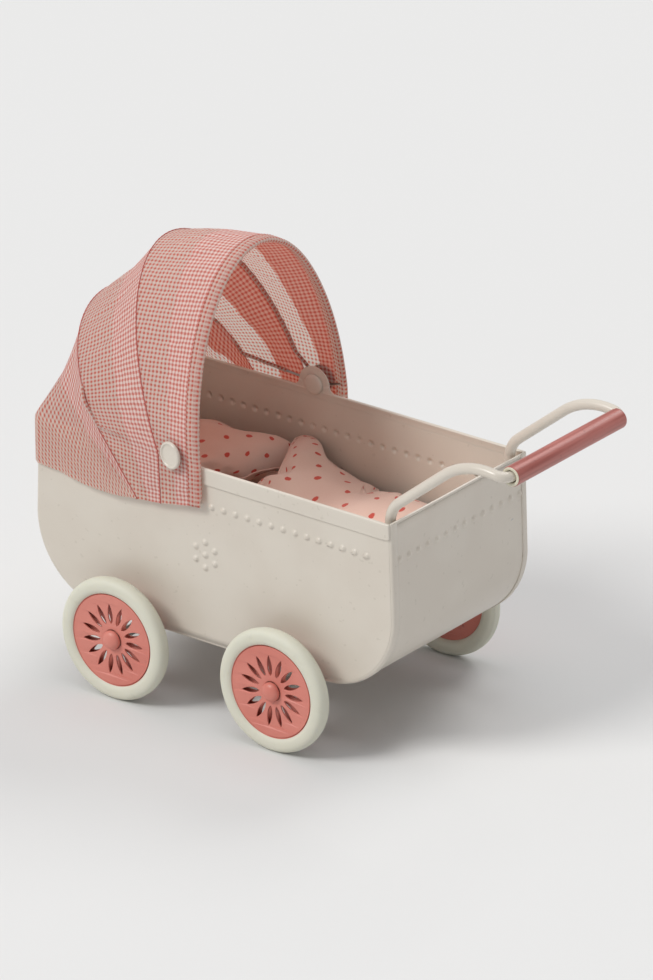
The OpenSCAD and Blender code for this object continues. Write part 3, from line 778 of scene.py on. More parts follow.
def arm_side_view():
    """Centre line of the arm: up from its clip, out along a slope and over the top."""
    low_heading, end_heading, low_r, top_r, bend = 39.0, -9.0, 9.0, 24.0, 4.0
    c, s = math.cos(math.radians(end_heading)), math.sin(math.radians(end_heading))
    end = (GRIP_AXIS[0] - bend * c, GRIP_AXIS[2] - bend * s)
    top = (end[0] + top_r * s, end[1] - top_r * c)
    cl, sl = math.cos(math.radians(low_heading)), math.sin(math.radians(low_heading))
    start = (top[0] - top_r * sl, top[1] + top_r * cl)
    foot_x = ROD_LOW[0] + ROD_R
    low_x = foot_x + low_r * (1 - sl)
    run = (start[0] - low_x) / cl
    low = (start[0] - run * cl + low_r * sl, start[1] - run * sl - low_r * cl)
    line = [(foot_x, ROD_LOW[2]), (foot_x, low[1] - 6), (foot_x, low[1] - 2)]
    line += turn_arc(low, low_r, 180, 90 + low_heading, 8)
    line += [(start[0] - run * cl * k, start[1] - run * sl * k) for k in (0.75, 0.5, 0.25)]
    line += turn_arc(top, top_r, 90 + low_heading, 90 + end_heading, 16)
    return line, bend, end_heading


def make_handle():
    side_view, bend, heading = arm_side_view()
    path = [(x, -ARM_Y, z) for x, z in side_view[:-1]]
    c, s = math.cos(math.radians(heading)), math.sin(math.radians(heading))
    for a in np.radians(np.arange(0, 91, 10)):
        along = bend * (math.sin(a) - 1)
        path.append((GRIP_AXIS[0] + along * c, -ARM_Y + bend * (1 - math.cos(a)), GRIP_AXIS[2] + along * s))
    path += [(GRIP_AXIS[0], y, GRIP_AXIS[2]) for y in np.linspace(-ARM_Y + bend + 2, 0, 6)]
    path += [(x, -y, z) for x, y, z in path[:-1][::-1]]
    rod = tube("handle_rod_bent", path, ROD_R, ENAMEL, 28, (1, 0, 0))
    settle(rod, "tub", "enamel", "handle_rod")
    make_grip()


def make_grip():
    """Painted tube with a seam ridge along it and a bare cream end ring."""
    r = (GRIP_HIGH[2] - GRIP_LOW[2]) / 2
    y = np.concatenate([[GRIP_LOW[1] + d for d in (0.0, 0.0, 0.12, 0.35, 0.8)],
                        np.linspace(GRIP_LOW[1] + 2, GRIP_HIGH[1] - 2, 36),
                        [GRIP_HIGH[1] - d for d in (0.8, 0.35, 0.12, 0.0, 0.0)]])
    scale = [0.72, 0.93, 0.985, 1.0, 1.0] + [1.0] * 36 + [1.0, 1.0, 0.985, 0.93, 0.72]
    steps = 72
    points = []
    for yy, m in zip(y, scale):
        for j in range(steps):
            a = 2 * math.pi * j / steps
            q = r - 0.06 + 0.02 * math.sin(3 * a + yy / 9.0)
            for height, at, wide in ((0.10, 128, 5.0), (0.10, 104, 5.0), (-0.05, 116, 8.0)):
                q += height * math.exp(-((math.degrees(a) - at) / wide) ** 2)
            q *= m
            points.append((GRIP_AXIS[0] + q * math.cos(a), yy, GRIP_AXIS[2] + q * math.sin(a)))
    faces = grid_faces(len(y), steps, wrap_columns=True)
    kinds = [1 if min(f) // steps in (0, len(y) - 2) else 0 for f in faces]
    grip = new_piece("handle_grip_painted", points, faces, GRIP_PAINT, GRIP_CORE, face_material=kinds)
    settle(grip, "grip", "grip_rubber", "handle_grip")
    lip = [(r * 0.955, -0.35), (r * 0.93, 0.04), (r * 0.84, 0.12), (2.2, 0.10), (2.05, -0.2), (2.05, -2.0)]
    for (word, side), end in zip(SIDES, (GRIP_LOW[1], GRIP_HIGH[1])):
        ring = revolve(f"handle_grip_end_{word}", lip, (GRIP_AXIS[0], end, GRIP_AXIS[2]), side, GRIP_CORE, 64)
        settle(ring, "grip", "grip_rubber")


# ---- hood -------------------------------------------------------------------

HOOD_W = HEM_HIGH[1]
FRONT_X = PIVOT_X + 10.4
REAR_X = PIVOT_X - 23.6
LEG = 0.085
HOOD_COLUMNS = 181
INSIDE = np.array([-40.0, 0.0, 70.0])
REAR_FOOT_X, REAR_FOOT_Z = -27.6, 66.8
WIRE_OUT = 36.6
HEAD_FACE = -(TUB_LEN / 2 + 0.35)

# Per column of the hood: place across it, place up its nearer leg, height on the arch.
COLUMN = np.linspace(0, 1, HOOD_COLUMNS)
FROM_LEG = np.minimum(COLUMN, 1 - COLUMN)
ARCH = np.clip((FROM_LEG - LEG) / (0.5 - LEG), 0, 1)
ARCH_SHARE = np.sin(ARCH * math.pi / 2)


def sine_mix(s, seed, waves):
    """Smooth, fixed ripple of several wavelengths in millimetres."""
    rng = np.random.default_rng(seed)
    total = np.zeros_like(s)
    for wave in waves:
        total = total + np.sin(2 * math.pi * s / wave + rng.uniform(0, 2 * math.pi))
    return total / len(waves)


def bow_line(base_x, lean, half, rise, shift, leg_x, leg_z, leg_half, flare=0.0):
    """Curve of a bow or seam from its near leg over the top to its far leg."""
    t = np.radians(ARCH * 90)
    t = t + 0.16 * np.sin(2 * t) * (rise > half)
    c, s = math.cos(math.radians(lean)), math.sin(math.radians(lean))
    slide = shift * (1 - np.sin(t)) ** 1.5
    x = base_x + rise * np.sin(t) * c + slide
    y = half * np.cos(t)
    z = PIVOT_Z + rise * np.sin(t) * s
    leg = np.clip(1 - FROM_LEG / LEG, 0, 1)
    x = x + (leg_x - x) * leg
    y = y + (leg_half - y) * leg
    z = z + (leg_z - z) * leg
    side = np.where(COLUMN < 0.5, -1, 1)
    side[HOOD_COLUMNS // 2] = 0
    wide = np.where(side > 0, flare * np.clip((PIVOT_Z + 45 - z) / 45, 0, 1) ** 1.3, 0)
    return np.stack([x, side * y + wide, z], 1)


FRONT_LINE = bow_line(FRONT_X, 94.5, HOOD_W, 62.0, 0.0, FRONT_X + 0.4, 70.4, HOOD_W, 1.5)
HEM_DEPTH = 4.2
HEM_LINE = FRONT_LINE + np.array([-HEM_DEPTH, 0.0, -0.3])
MIDDLE_LINE = bow_line(PIVOT_X, 118.7, HOOD_W - 0.4, 63.4, -5.8, -18.2, 67.8, HOOD_W - 0.3, 0.5)
REAR_LINE = bow_line(REAR_X, 135.0, 37.0, 44.2, -5.0, REAR_FOOT_X, REAR_FOOT_Z, HOOD_W - 0.4)


def weave_of(p, pleat_shade):
    """Thread coordinates along the arch and back from the front line, and the rows where pleat shade is
    painted.
    """
    middle = lengths(p[len(p) // 2])
    across = np.concatenate([np.zeros((1, p.shape[1])),
                             np.cumsum(np.linalg.norm(np.diff(p, axis=0), axis=2), axis=0)])
    return np.stack(np.broadcast_arrays((middle - middle[-1] / 2)[None], across, pleat_shade[:, None]), -1)


def valley_depth(near, far, top):
    """How deep a pleat is at each column: on the near side, the far side and the top."""
    foot = np.clip((ARCH_SHARE - 0.04) / 0.3, 0, 1)
    belly = np.sin(math.pi * ARCH_SHARE ** 1.1) ** 0.6 * foot * foot * (3 - 2 * foot)
    return np.where(COLUMN < 0.5, near, far) * belly * (1 - ARCH_SHARE ** 6) + top * ARCH_SHARE ** 3


def between(a, b, v):
    """Grid of points whose rows lead from the line a to the line b."""
    return a[None] + (b - a)[None] * v[:, None, None]


def gore(front, back, rows, valley_at, depth, seed, ripple):
    """Cloth between two seams: a valley between crisp ridges, with soft folds."""
    v = np.linspace(0, 1, rows)
    p = between(front, back, v)
    n = grid_normals(p, INSIDE)
    fold = np.where(v < valley_at, v / valley_at, (1 - v) / (1 - valley_at))
    shape = 0.35 * np.sin(fold * math.pi / 2) + 0.65 * fold ** 1.15
    sag = valley_depth(*depth)
    s = lengths(p[rows // 2])
    wide = np.sin(math.pi * v)[:, None]
    folds = sine_mix(s[None] + 6 * v[:, None], seed, (5.3, 8.9, 13.7)) * ripple
    gather = sine_mix(s[None] * (1 + 0.1 * v[:, None]), seed + 1, (3.1, 4.3)) * ripple * 0.4
    move = -shape[:, None] * sag[None] + wide * (folds * (0.45 + 0.55 * ARCH_SHARE[None]) + gather)
    return p + n * move[..., None]


FRONT_GORE = (HEM_LINE, MIDDLE_LINE, 40, 0.43, (1.0, 2.8, -0.9), 11, 0.36)
MIDDLE_GORE = (MIDDLE_LINE, REAR_LINE, 44, 0.46, (1.5, 3.2, 1.5), 17, 0.42)


def clear_of_tub(p):
    """Keeps cloth below the rim outside the tub's hems and end walls."""
    low = np.clip((RIM_Z + 1.6 - p[..., 2]) / 1.6, 0, 1)
    x, out = p[..., 0], np.abs(p[..., 1])
    side = np.where(p[..., 1] < 0, -1, 1)
    need = (HEM_OUT + 0.45) * low
    q = p.copy()
    beside = (out < need) & (np.abs(x) < RIM_LEN / 2 + 0.5) & (out > HALF_W - 6)
    q[..., 1] = np.where(beside, side * need, p[..., 1])
    behind = (x < -RIM_LEN / 2 + 3) & (x > HEAD_FACE) & (low > 0) & (np.abs(q[..., 1]) < HALF_W)
    q[..., 0] = np.where(behind, x + (HEAD_FACE - x) * low, x)
    return q


def plan_path(k, out):
    """Plan of the skirt from the rear seam, along the side and round the head corner.

    k runs from 0 at the seam to 1 at the middle of the head wall; out moves it outwards."""
    half, head_x, turn = HOOD_W - 0.35 + out, HEAD_FACE - out, 3.2 + out
    centre = np.array([head_x + turn, -(HALF_W + 1.1 + out) + turn])
    points = [(REAR_FOOT_X, -half), (-40.0, -half + 0.1), (-55.0, -half + 0.7),
              (centre[0] + 4, centre[1] - turn - 0.25)]
    points += [(centre[0] + turn * math.cos(a), centre[1] + turn * math.sin(a))
               for a in np.radians(np.linspace(270, 180, 10))]
    points += [(head_x - 0.5 * math.sin(math.radians(d)), centre[1] * (1 - d / 90))
               for d in range(10, 91, 10)]
    points = np.array(points)
    at = lengths(points) / lengths(points)[-1]
    return np.interp(k, at, points[:, 0]), np.interp(k, at, points[:, 1])


def rear_gore():
    """Cloth from the rear seam over the head of the tub, with its hanging skirt."""
    k = 2 * FROM_LEG
    side = np.where(COLUMN < 0.5, 1, -1)
    x, y = plan_path(k, 0.0)
    rise = np.clip(k / 0.52, 0, 1)
    over = np.clip((k - 0.5) / 0.5, 0, 1)
    crest = np.stack([x - 0.3 * np.sin(over * math.pi / 2), side * y,
                      REAR_FOOT_Z + (RIM_Z + 1.1 - REAR_FOOT_Z) * rise ** 0.92
                      + 0.9 * np.sin(over * math.pi / 2)], 1)
    x, y = plan_path(k, 0.1)
    low = REAR_FOOT_Z - 1.5 * np.sin(np.clip(k / 0.42, 0, 1) * math.pi) + 0.9 * np.clip(k / 0.5, 0, 1)
    hem = np.stack([x, side * y, low], 1)
    rows_a, rows_b = 34, 20
    v = np.linspace(0, 1, rows_a)
    upper = between(REAR_LINE, crest, v)
    n = grid_normals(upper, INSIDE)
    fold = np.where(v < 0.5, v / 0.5, (1 - v) / 0.5)
    sag = (0.4 * np.sin(fold * math.pi / 2) + 0.6 * fold)[:, None] * valley_depth(1.2, 2.6, 1.6)[None]
    s = lengths(upper[rows_a // 2])
    folds = sine_mix(s[None] + 10 * v[:, None], 31, (6.1, 9.7)) * 0.32 * np.sin(math.pi * v)[:, None]
    upper = upper + n * (folds - sag)[..., None]
    v = np.linspace(0, 1, rows_b)[1:]
    lower = between(crest, hem, v)
    n = grid_normals(np.concatenate([crest[None], lower]), INSIDE)[1:]
    s = lengths(hem)
    drape = sine_mix(s[None] + 4 * v[:, None], 47, (5.7, 9.1, 15.0)) * 0.26 * v[:, None] ** 0.7
    drape = drape + 0.25 * np.sin(math.pi * v)[:, None]
    drape = drape * (0.3 + 0.7 * np.clip(np.abs(k - 0.53) / 0.1, 0, 1))
    lower = lower + n * drape[..., None]
    p = np.concatenate([upper, lower])
    return clear_of_tub(soften_rows(p, rows_a - 1))


def soften_rows(p, row):
    """Rounds the fold at one row of a grid."""
    q = p.copy()
    for _ in range(3):
        for i in range(row - 3, row + 4):
            q[i] = 0.5 * q[i] + 0.25 * (q[i - 1] + q[i + 1])
    return q


def cloth_piece(name, p, valley_row):
    """Cloth surface whose rows before the valley, the front half of its pleat, are marked for painted shade.
    """
    pleat_shade = (np.arange(len(p)) <= valley_row).astype(float)
    return new_piece(name, p.reshape(-1, 3), grid_faces(*p.shape[:2]), CHECK_CLOTH,
                     weave=weave_of(p, pleat_shade), fixed=False)


SEAM_R = 0.15
STITCH_PITCH, STITCH_LENGTH, STITCH_R = 1.5, 1.0, 0.08
ON_CLOTH = 0.12


def seam(name, line, body):
    """Dark stitched line that lies on the cloth along a seam."""
    radius = SEAM_R * (1 + 0.25 * np.sin(np.arange(len(line)) * 1.9))
    piece = tube(name, line + unit(line - INSIDE) * ON_CLOTH, radius, SEAM_THREAD, 8, (1, 0, 0))
    settle(piece, body, "check_cloth")


def stitches(name, line, body):
    """Row of separate stitches along a line."""
    s = lengths(line)
    out = unit(line - INSIDE)

    def on(values, at):
        return np.array([np.interp(at, s, values[:, i]) for i in range(3)])

    points, faces, weave = [], [], []
    for start in np.arange(1.0, s[-1] - 1.0, STITCH_PITCH):
        for k, at in enumerate((start, start + STITCH_LENGTH / 2, start + STITCH_LENGTH)):
            middle = on(line + out * (ON_CLOTH - 0.10 * abs(k - 1)), at)
            ahead = on(line, at + 0.3) - on(line, at - 0.3)
            up = on(out, at)
            side = np.cross(ahead / np.linalg.norm(ahead), up)
            width = STITCH_R * (1.0 if k == 1 else 0.55)
            base = len(points)
            for a in np.radians(np.arange(0, 360, 60)):
                points.append(middle + width * (math.cos(a) * side + math.sin(a) * up))
                weave.append((at, math.degrees(a) / 200))
            if k:
                faces += grid_faces(2, 6, wrap_columns=True, start=base - 6)
    settle(new_piece(name, points, faces, CHECK_CLOTH, weave=weave), body, "check_cloth")


def make_front_hem():
    """Front casing: cloth turned round the front bow and stitched down behind it."""
    section = []
    for a in np.radians(np.linspace(90, 270, 13)):
        section.append((0.86 + 0.86 * math.cos(a), -1.1 + 0.82 * math.sin(a)))
    section += [(1.7, -1.86), (2.5, -1.5), (3.3, -1.1), (4.0, -0.85), (4.6, -0.75)]
    section += [(4.6, -0.25), (3.9, -0.05), (2.9, -0.02), (1.9, -0.14)]
    section = np.array(section)
    flat = np.clip(FROM_LEG / 0.02, 0.45, 1)
    back = unit(HEM_LINE - FRONT_LINE)
    out = outward_of(FRONT_LINE, back)
    p = FRONT_LINE[:, None] + back[:, None] * section[None, :, 0, None] \
        + out[:, None] * (section[None, :, 1, None] * flat[:, None, None])
    s = lengths(FRONT_LINE)
    ripple = 0.10 * sine_mix(s, 5, (3.4, 5.9, 9.3))
    p = p + out[:, None] * (ripple[:, None] * np.clip(section[:, 0] / 4, 0, 1)[None])[..., None]
    weave = np.stack(np.broadcast_arrays((s - s[-1] / 2)[:, None], lengths(section)[None]), -1)
    hem = new_piece("hood_front_casing", p.reshape(-1, 3), closed_tube(HOOD_COLUMNS, len(section)),
                    CHECK_CLOTH, weave=weave)
    return settle(hem, "hood_front", "check_cloth", "hood_front_hem")


def outward_of(line, back):
    """Directions square to a line and to its back direction, away from the inside."""
    ahead = unit(np.gradient(line, axis=0))
    out = unit(np.cross(ahead, back))
    sign = np.sign(np.sum(out * (line - INSIDE), axis=1, keepdims=True))
    return out * np.where(sign == 0, 1, sign)


def chord_points(front, back):
    """Two points on the middle plane, on a gore's front and back lines, in metres."""
    j = int(HOOD_COLUMNS * 0.45)
    a, b = front[j].copy(), back[j].copy()
    a[1] = b[1] = 0.0
    return Vector(a * MM), Vector(b * MM)


GORES = ("front", "middle", "rear")
GORE_LINES = (FRONT_LINE, MIDDLE_LINE, REAR_LINE, REAR_LINE + np.array([-14.0, 0.0, -26.0]))


def make_hood():
    """Three gores between the bows, with their seams, stitching, hem and wires."""
    hem = make_front_hem()
    grids = (gore(*FRONT_GORE), gore(*MIDDLE_GORE), rear_gore())
    pieces = [cloth_piece("hood_gore_" + name, p, valley_row)
              for name, p, valley_row in zip(GORES, grids, (17, 20, 17))]
    for piece, name in zip(pieces, GORES):
        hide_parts("hood_cloth_" + name)
    for k, piece in enumerate(pieces):
        a, b = chord_points(GORE_LINES[k], GORE_LINES[k + 1])
        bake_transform(piece)
    seam("hood_seam_middle", MIDDLE_LINE, "hood_middle")
    seam("hood_seam_rear", REAR_LINE, "hood_rear")
    stitches("hood_front_stitching", HEM_LINE, "hood_front")
    make_wires()


# Each bow's name, line, depth below the cloth, lowest height, foot from the pivot, eyelet layer.
BOWS = (("front", FRONT_LINE, 1.12, 86.0, (2.7, 0.0), 2),
        ("middle", MIDDLE_LINE, 0.85, 93.0, (-1.3, 2.4), 1),
        ("rear", REAR_LINE, 0.85, 87.0, (-2.7, 0.0), 0))
BACKWARD = np.array([-1.0, 0.0, 0.0])


def make_wires():
    """Wire bows inside their casings, each with an eyelet on the pivot."""
    for name, line, depth, low, (foot_x, foot_z), layer in BOWS:
        inner = line - outward_of(line, BACKWARD) * depth
        if name == "front":
            inner = inner + BACKWARD
        inner = inner[line[:, 2] > low]
        if name == "rear":
            rim = RIM_Z + 5.5 + 0.25 * (PIVOT_X - inner[:, 0])
            low_part = np.clip((rim - inner[:, 2]) / 4.0, 0, 1)
            outside = np.sign(inner[:, 1]) * np.maximum(np.abs(inner[:, 1]), WIRE_OUT)
            inner[:, 1] += (outside - inner[:, 1]) * low_part
        near, far = (np.array([[PIVOT_X + foot_x, y, PIVOT_Z + foot_z]]) for y in (-WIRE_OUT, WIRE_OUT))
        body = "hood_" + name
        wire = tube(body + "_wire", np.concatenate([near, inner, far]), 0.4, STEEL, 12, (1, 0, 0))
        settle(wire, body, "bare_steel", body + "_bow")
        if name != "front":
            path = np.concatenate([near * 0.65 + inner[:1] * 0.35, inner, far * 0.65 + inner[-1:] * 0.35])
            radius = 0.6 + 0.03 * np.sin(np.arange(len(path)) * 0.9)
            settle(tube(body + "_wire_casing", path, radius, CHECK_CLOTH, 12, (1, 0, 0)), body, "check_cloth")
        y = HALF_W + SHEET + 0.05 + layer * 0.4
        ring = [(1.35, y), (1.35, y + 0.3), (2.2, y + 0.3), (2.35, y + 0.15), (2.2, y), (1.35, y)]
        for word, side in SIDES:
            eyelet = revolve(f"{body}_eyelet_{word}", ring, (PIVOT_X, 0.0, PIVOT_Z), side, STEEL, 40)
            settle(eyelet, body, "bare_steel")


def make_pivots():
    """Inner rivet heads and outer snap caps at the hood pivot."""
    for word, side in SIDES:
        first = word == "near"
        centre = np.array([PIVOT_X, side * (HALF_W - SHEET - 0.15), PIVOT_Z])
        head = [(3.45, 0.1), (3.42, -0.22), (3.25, -0.42)]
        for a in np.radians(np.linspace(10, 90, 8)):
            head.append((3.1 * math.cos(a), -0.45 - 0.5 * math.sin(a)))
        rivet = revolve(f"hood_rivet_head_{word}", head, centre, side, ENAMEL, 64)
        settle(rivet, "tub", "enamel", *(["hood_pivot_rivets"] if first else []))
        outer = CAP_HIGH[1]
        base = outer - 1.35
        cap = [(4.2, base), (4.5, base + 0.35), (4.55, base + 0.75), (4.4, outer - 0.2),
               (4.12, outer - 0.02), (3.85, outer), (3.6, outer - 0.12), (3.45, outer - 0.38),
               (3.2, outer - 0.42), (1.5, outer - 0.36), (0.02, outer - 0.34)]
        cap = [(r, y - outer) for r, y in cap]
        snap = revolve(f"hood_snap_cap_{word}", cap, np.zeros(3), side, ENAMEL, 80)
        turn = Matrix.Rotation(side * math.radians(12), 4, "Z")
        place = Vector((PIVOT_X + 0.3, side * (outer + 0.35), PIVOT_Z + 1.2)) * MM
        snap.data.transform(Matrix.Translation(place) @ turn)
        settle(snap, "tub", "enamel", *(["hood_snap_caps"] if first else []))


# ---- bedding ----------------------------------------------------------------

# The fill is simulated ten times larger than life, where the cloth solver is steady.
SIM_SCALE = 10.0
SIM_FRAMES = 20
SIM_SETTINGS = {"quality": 6, "mass": 0.25, "tension_stiffness": 12, "compression_stiffness": 12,
                "shear_stiffness": 4, "bending_stiffness": 0.15, "use_pressure": True,
                "uniform_pressure_force": 4.0}
FARTHEST_MOVE = 60.0
COVER_STEP = 1.35


def two_sheets(size_x, size_y, thick):
    """Two flat sheets joined at their edges: the sewn cover before it is filled."""
    nx, ny = int(size_x / COVER_STEP) + 1, int(size_y / COVER_STEP) + 1
    x = np.linspace(-size_x / 2, size_x / 2, nx)
    y = np.linspace(-size_y / 2, size_y / 2, ny)
    xx, yy = np.meshgrid(x, y, indexing="ij")
    r = 3.0
    cx = np.clip(np.abs(xx) - (size_x / 2 - r), 0, r) / r
    cy = np.clip(np.abs(yy) - (size_y / 2 - r), 0, r) / r
    over = np.sqrt(cx ** 2 + cy ** 2)
    pull = np.where(over > 1, 1 / np.maximum(over, 1), 1)
    px = np.sign(xx) * (np.abs(xx) - np.where(cx > 0, cx * r * (1 - pull), 0))
    py = np.sign(yy) * (np.abs(yy) - np.where(cy > 0, cy * r * (1 - pull), 0))
    edge = np.minimum(size_x / 2 - np.abs(xx), size_y / 2 - np.abs(yy))
    crown = thick * np.sqrt(np.clip(edge / 6.0, 0, 1))
    index = -np.ones((2, nx, ny), int)
    points, weave = [], []
    for side, sign in ((0, 1), (1, -1)):
        for i in range(nx):
            for j in range(ny):
                border = i in (0, nx - 1) or j in (0, ny - 1)
                if side == 1 and border:
                    index[1, i, j] = index[0, i, j]
                    continue
                index[side, i, j] = len(points)
                points.append((px[i, j], py[i, j], sign * crown[i, j]))
                weave.append((xx[i, j], yy[i, j] + (0 if side == 0 else 3.3)))
    faces = []
    for side in (0, 1):
        for i in range(nx - 1):
            for j in range(ny - 1):
                f = [index[side, a, b] for a, b in ((i, j), (i + 1, j), (i + 1, j + 1), (i, j + 1))]
                faces.append(f if side == 0 else f[::-1])
    border = ([index[0, i, 0] for i in range(nx)] + [index[0, nx - 1, j] for j in range(1, ny)]
              + [index[0, i, ny - 1] for i in range(nx - 2, -1, -1)]
              + [index[0, 0, j] for j in range(ny - 2, 0, -1)])
    return np.array(points), faces, np.array(weave), border


def inflate(name, points, faces):
    """Fills a sewn cover by cloth simulation and returns its new points."""
    mesh = bpy.data.meshes.new(name)
    mesh.from_pydata((points * MM * SIM_SCALE).tolist(), [], [list(map(int, f)) for f in faces])
    thing = shown(bpy.data.objects.new(name, mesh))
    cloth = thing.modifiers.new("fill", "CLOTH")
    for key, value in SIM_SETTINGS.items():
        setattr(cloth.settings, key, value)
    cloth.settings.effector_weights.gravity = 0
    cloth.collision_settings.use_collision = False
    scene = bpy.context.scene
    for number in range(1, SIM_FRAMES + 1):
        scene.frame_set(number)
    graph = bpy.context.evaluated_depsgraph_get()
    result = thing.evaluated_get(graph).to_mesh()
    out = np.array([v.co for v in result.vertices]) / (MM * SIM_SCALE)
    scene.frame_set(1)
    bpy.data.objects.remove(thing)
    move = out - points
    size = np.linalg.norm(move, axis=1, keepdims=True)
    return points + move * np.minimum(1, FARTHEST_MOVE / np.maximum(size, 1e-9))


def fit_between(points, low, high):
    """Scales a filled cover to its box."""
    a, b = points.min(0), points.max(0)
    return low + (points - a) / (b - a) * (high - low)


def padded_piece(node, points, faces, weave, border):
    """Dotted pad with a cord along the seam of its cover."""
    piece = new_piece(node + "_cover", points, faces, DOTTED, weave=weave)
    modifier = piece.modifiers.new("round", "SUBSURF")
    modifier.levels = modifier.render_levels = 1
    bake_modifiers(piece)
    piece.data.polygons.foreach_set("use_smooth", [True] * len(piece.data.polygons))
    settle(piece, "tub", "dotted_cotton", node)
    cord = tube(node + "_cover_edge_seam", points[border + border[:1]], 0.32, DOTTED, 8)
    settle(cord, "tub", "dotted_cotton")


def rumple(x, y, seed, scale):
    """Soft wrinkles in a few directions."""
    rng = np.random.default_rng(seed)
    total = np.zeros_like(x)
    for _ in range(7):
        a = rng.uniform(0, math.pi)
        wave = rng.uniform(7, 22)
        along = (x * math.cos(a) + y * math.sin(a)) * 2 * math.pi / wave
        total += np.sin(along + rng.uniform(0, 6.28)) * wave / 22
    return total / 7 * scale


def make_bedding():
    base = MATTRESS_HIGH[2] + 0.3
    half = PILLOW_HIGH[1]
    points, faces, weave, border = two_sheets(50.0, 66.0, 3.0)
    points = inflate("pillow_cover", points, faces)
    low = np.array([PILLOW_LOW[0], -half, 0.0])
    high = np.array([PILLOW_HIGH[0] + 8.0, half, 17.0])
    points = fit_between(points, low, high)
    points = seat(points, base, 0.45)
    x, y = points[:, 0], points[:, 1]
    over = np.clip((points[:, 2] - base) / 3.0, 0, 1)
    points[:, 2] += 8.6 * ease((y + 8) / 36) * over * ease((PILLOW_HIGH[0] + 10 - x) / 12)
    points[:, 2] += rumple(x, y, 3, 1.6) * np.clip((points[:, 2] - base) / 6, 0, 1)
    points[:, 2] -= 5.5 * np.clip((-44 - x) / 18, 0, 1) * np.clip((points[:, 2] - base) / 8, 0, 1)
    points = calm_edges(points, PILLOW_HIGH[1])
    padded_piece("pillow", points, faces, weave, border)

    points, faces, weave, border = two_sheets(84.0, 68.0, 2.4)
    points = inflate("duvet_cover", points, faces)
    half = DUVET_HIGH[1]
    low = np.array([DUVET_LOW[0] - 3.5, -half, 0.0])
    high = np.array([DUVET_HIGH[0], half, 9.5])
    points = fit_between(points, low, high)
    points = square_up(seat(points, base, 0.42), half)
    x, y = points[:, 0].copy(), points[:, 1].copy()
    over = np.clip((points[:, 2] - base) / 2.5, 0, 1)
    far = ease((y + 6) / 36)
    head = ease((9.0 - x) / 27)
    points[:, 2] += head * (12.5 - 0.8 * far) + 2.6 * far * over * (1 - 0.6 * head)
    points[:, 2] += rumple(x, y, 9, 1.7) * over
    points[:, 0] += (1.6 * np.sin(y / 8.0 + 0.8) + 6.0 * far) * ease((2 - x) / 20)
    points = calm_edges(points, DUVET_HIGH[1])
    padded_piece("duvet", points, faces, weave + 1.7, border)
    make_mattress()


def square_up(points, half):
    """Pulls a pad's long edges out to straight lines at y = -half and half."""
    points = points.copy()
    x, y = points[:, 0], points[:, 1]
    stations = np.linspace(x.min() + 2.0, x.max() - 2.0, 24)
    for sign in (-1, 1):
        reach = np.array([(sign * y[np.abs(x - station) < 2.2]).max() for station in stations])
        wide = half / np.interp(x, stations, np.convolve(np.pad(reach, 2, "edge"), np.ones(5) / 5, "valid"))
        share = ease(sign * y / 12.0)
        y = y * (1 + (wide - 1) * share)
    points[:, 1] = y
    return points


def ease(t):
    t = np.clip(t, 0, 1)
    return t * t * (3 - 2 * t)


def calm_edges(points, half):
    """Keeps a pad inside the tub's walls."""
    points = points.copy()
    points[:, 1] = np.clip(points[:, 1], -half - 1.2, half + 1.2)
    return points


def seat(points, base, keep):
    """Rests a pad on the level base: its lower half is pressed nearly flat."""
    z = points[:, 2]
    seam_z = np.median(z)
    z = np.where(z < seam_z, seam_z - (seam_z - z) * keep, z)
    points = points.copy()
    points[:, 2] = z - z.min() + base
    return points


def make_mattress():
    """Thin firm pad cut to the tub, with a piped top edge."""
    inset = SHEET + 1.3
    top = MATTRESS_HIGH[2]
    levels = [FLOOR_Z + inset + 0.1, 27.0, 32.0, 38.0, 44.0, 48.0, top - 2.0, top - 0.9, top - 0.25,
              top, top, top]
    shrink = [6.0, 1.0, 0.5, 0.0, 0.0, 0.0, 0.0, 0.35, 1.3, 5.0, 16.0, 30.0]
    columns = 160
    points = []
    half_y = MATTRESS_HIGH[1]
    for z, cut in zip(levels, shrink):
        half_x = float(half_length(np.array(z), inset)) - 0.3
        half_x = min(half_x, (MATTRESS_HIGH[0] - MATTRESS_LOW[0]) / 2)
        for k in range(columns):
            a = 2 * math.pi * k / columns
            c, s = math.cos(a), math.sin(a)
            n = 9.0
            r = (abs(c) ** n + abs(s) ** n) ** (-1 / n)
            x, y = (half_x - cut) * c * r, (half_y - cut) * s * r
            points.append((x - 2.0, y, z + 0.25 * math.sin(x / 9) * math.sin(y / 8) * (z > top - 0.5)))
    points = np.array(points)
    faces = closed_tube(len(levels), columns)
    mattress = new_piece("mattress_pad", points, faces, PLAIN, weave=points[:, :2])
    settle(mattress, "tub", "mattress_cotton", "mattress")
    row = levels.index(top - 0.9)
    line = points[row * columns:(row + 1) * columns]
    piping = tube("mattress_piping", np.concatenate([line, line[:1]]), 0.5, PLAIN, 8)
    settle(piping, "tub", "mattress_cotton")


# ---- carried-over CAD pieces --------------------------------------------------


def finish_cad_nodes():
    looks = {"enamel": ENAMEL, "wheel_paint": WHEEL_PAINT, "bare_steel": STEEL, "tyre_rubber": TYRE,
             "grip_rubber": GRIP_PAINT, "check_cloth": CHECK_CLOTH, "dotted_cotton": DOTTED,
             "mattress_cotton": PLAIN}
    for part in frame["record"]["subparts"]:
        node = frame["nodes"][part["node"]]
        node.data.materials.clear()
        node.data.materials.append(looks[part["material_slot"]])


# ---- stage --------------------------------------------------------------------


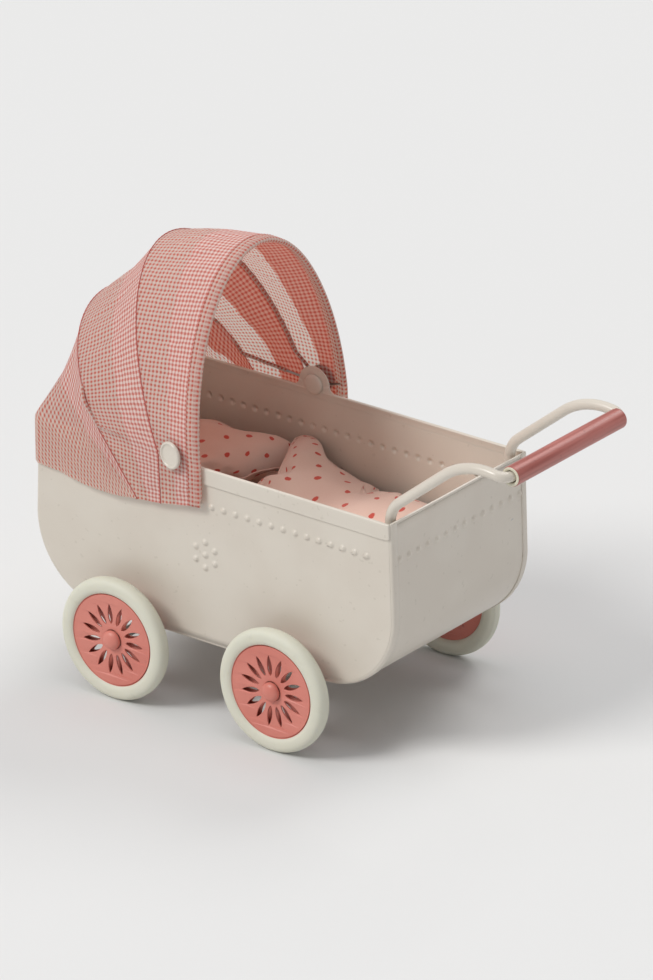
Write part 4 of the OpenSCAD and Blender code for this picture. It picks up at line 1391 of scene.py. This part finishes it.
def make_camera():
    azimuth, elevation, roll = np.radians([37.522, 23.880, -0.214])
    back = np.array([math.sin(azimuth) * math.cos(elevation), -math.cos(azimuth) * math.cos(elevation),
                     math.sin(elevation)])
    right = np.array([math.cos(azimuth), math.sin(azimuth), 0.0])
    up = np.cross(back, right)
    right, up = (math.cos(roll) * right + math.sin(roll) * up, -math.sin(roll) * right + math.cos(roll) * up)
    data = bpy.data.cameras.new("camera")
    data.sensor_width = 36.0
    data.sensor_fit = "AUTO"
    data.lens = 290.7
    data.clip_start = 0.1
    data.clip_end = 20.0
    camera = bpy.data.objects.new("camera", data)
    matrix = Matrix.Identity(4)
    for i, axis in enumerate((right, up, back)):
        for j in range(3):
            matrix[j][i] = axis[j]
    matrix.translation = Vector((1.39365, -1.79138, 1.06863))
    camera.matrix_world = matrix
    bpy.context.scene.camera = shown(camera)


def soft_sun(name, toward, strength, spread, colour=(1, 1, 1)):
    """Even, soft light from the direction toward, given as a vector from the object."""
    data = bpy.data.lights.new(name, "SUN")
    data.energy = strength
    data.angle = math.radians(spread)
    data.color = colour
    light = shown(bpy.data.objects.new(name, data))
    light.rotation_euler = Vector(toward).to_track_quat("Z", "Y").to_euler()


def make_stage():
    far = 6.0 / MM
    s = Shader("floor_paper")
    grey = s.mix(s.noise(6.0), rgb(0.735, 0.735, 0.735), rgb(0.745, 0.745, 0.745))
    floor = new_piece("floor", [(-far, -far, 0), (far, -far, 0), (far, far, 0), (-far, far, 0)],
                      [(0, 1, 2, 3)], s.principled(grey, 0.9, Specular_IOR_Level=0.05), fixed=False)
    world = bpy.data.worlds.new("studio")
    world.use_nodes = True
    world.node_tree.nodes["Background"].inputs[0].default_value = (0.97, 0.98, 1.0, 1)
    world.node_tree.nodes["Background"].inputs[1].default_value = 0.36
    bpy.context.scene.world = world
    bpy.context.scene.view_settings.view_transform = "Standard"
    soft_sun("key", (-0.42, -0.72, 0.76), 1.58, 22, (1.0, 0.99, 0.965))
    soft_sun("back", (0.0, 0.80, 0.80), 0.92, 30, (1.0, 0.985, 0.96))
    soft_sun("top", (0.0, 0.0, 1.0), 0.70, 50)


# ---- build --------------------------------------------------------------------

make_camera()
make_stage()
finish_cad_nodes()
make_wrap()
for side_word, side_sign in SIDES:
    make_side(side_word, side_sign)
for wheel_end in ("head", "foot"):
    for side_word, side_sign in SIDES:
        make_wheel(wheel_end, side_word, side_sign)
make_caps()
make_handle()
make_hood()
make_pivots()
make_bedding()
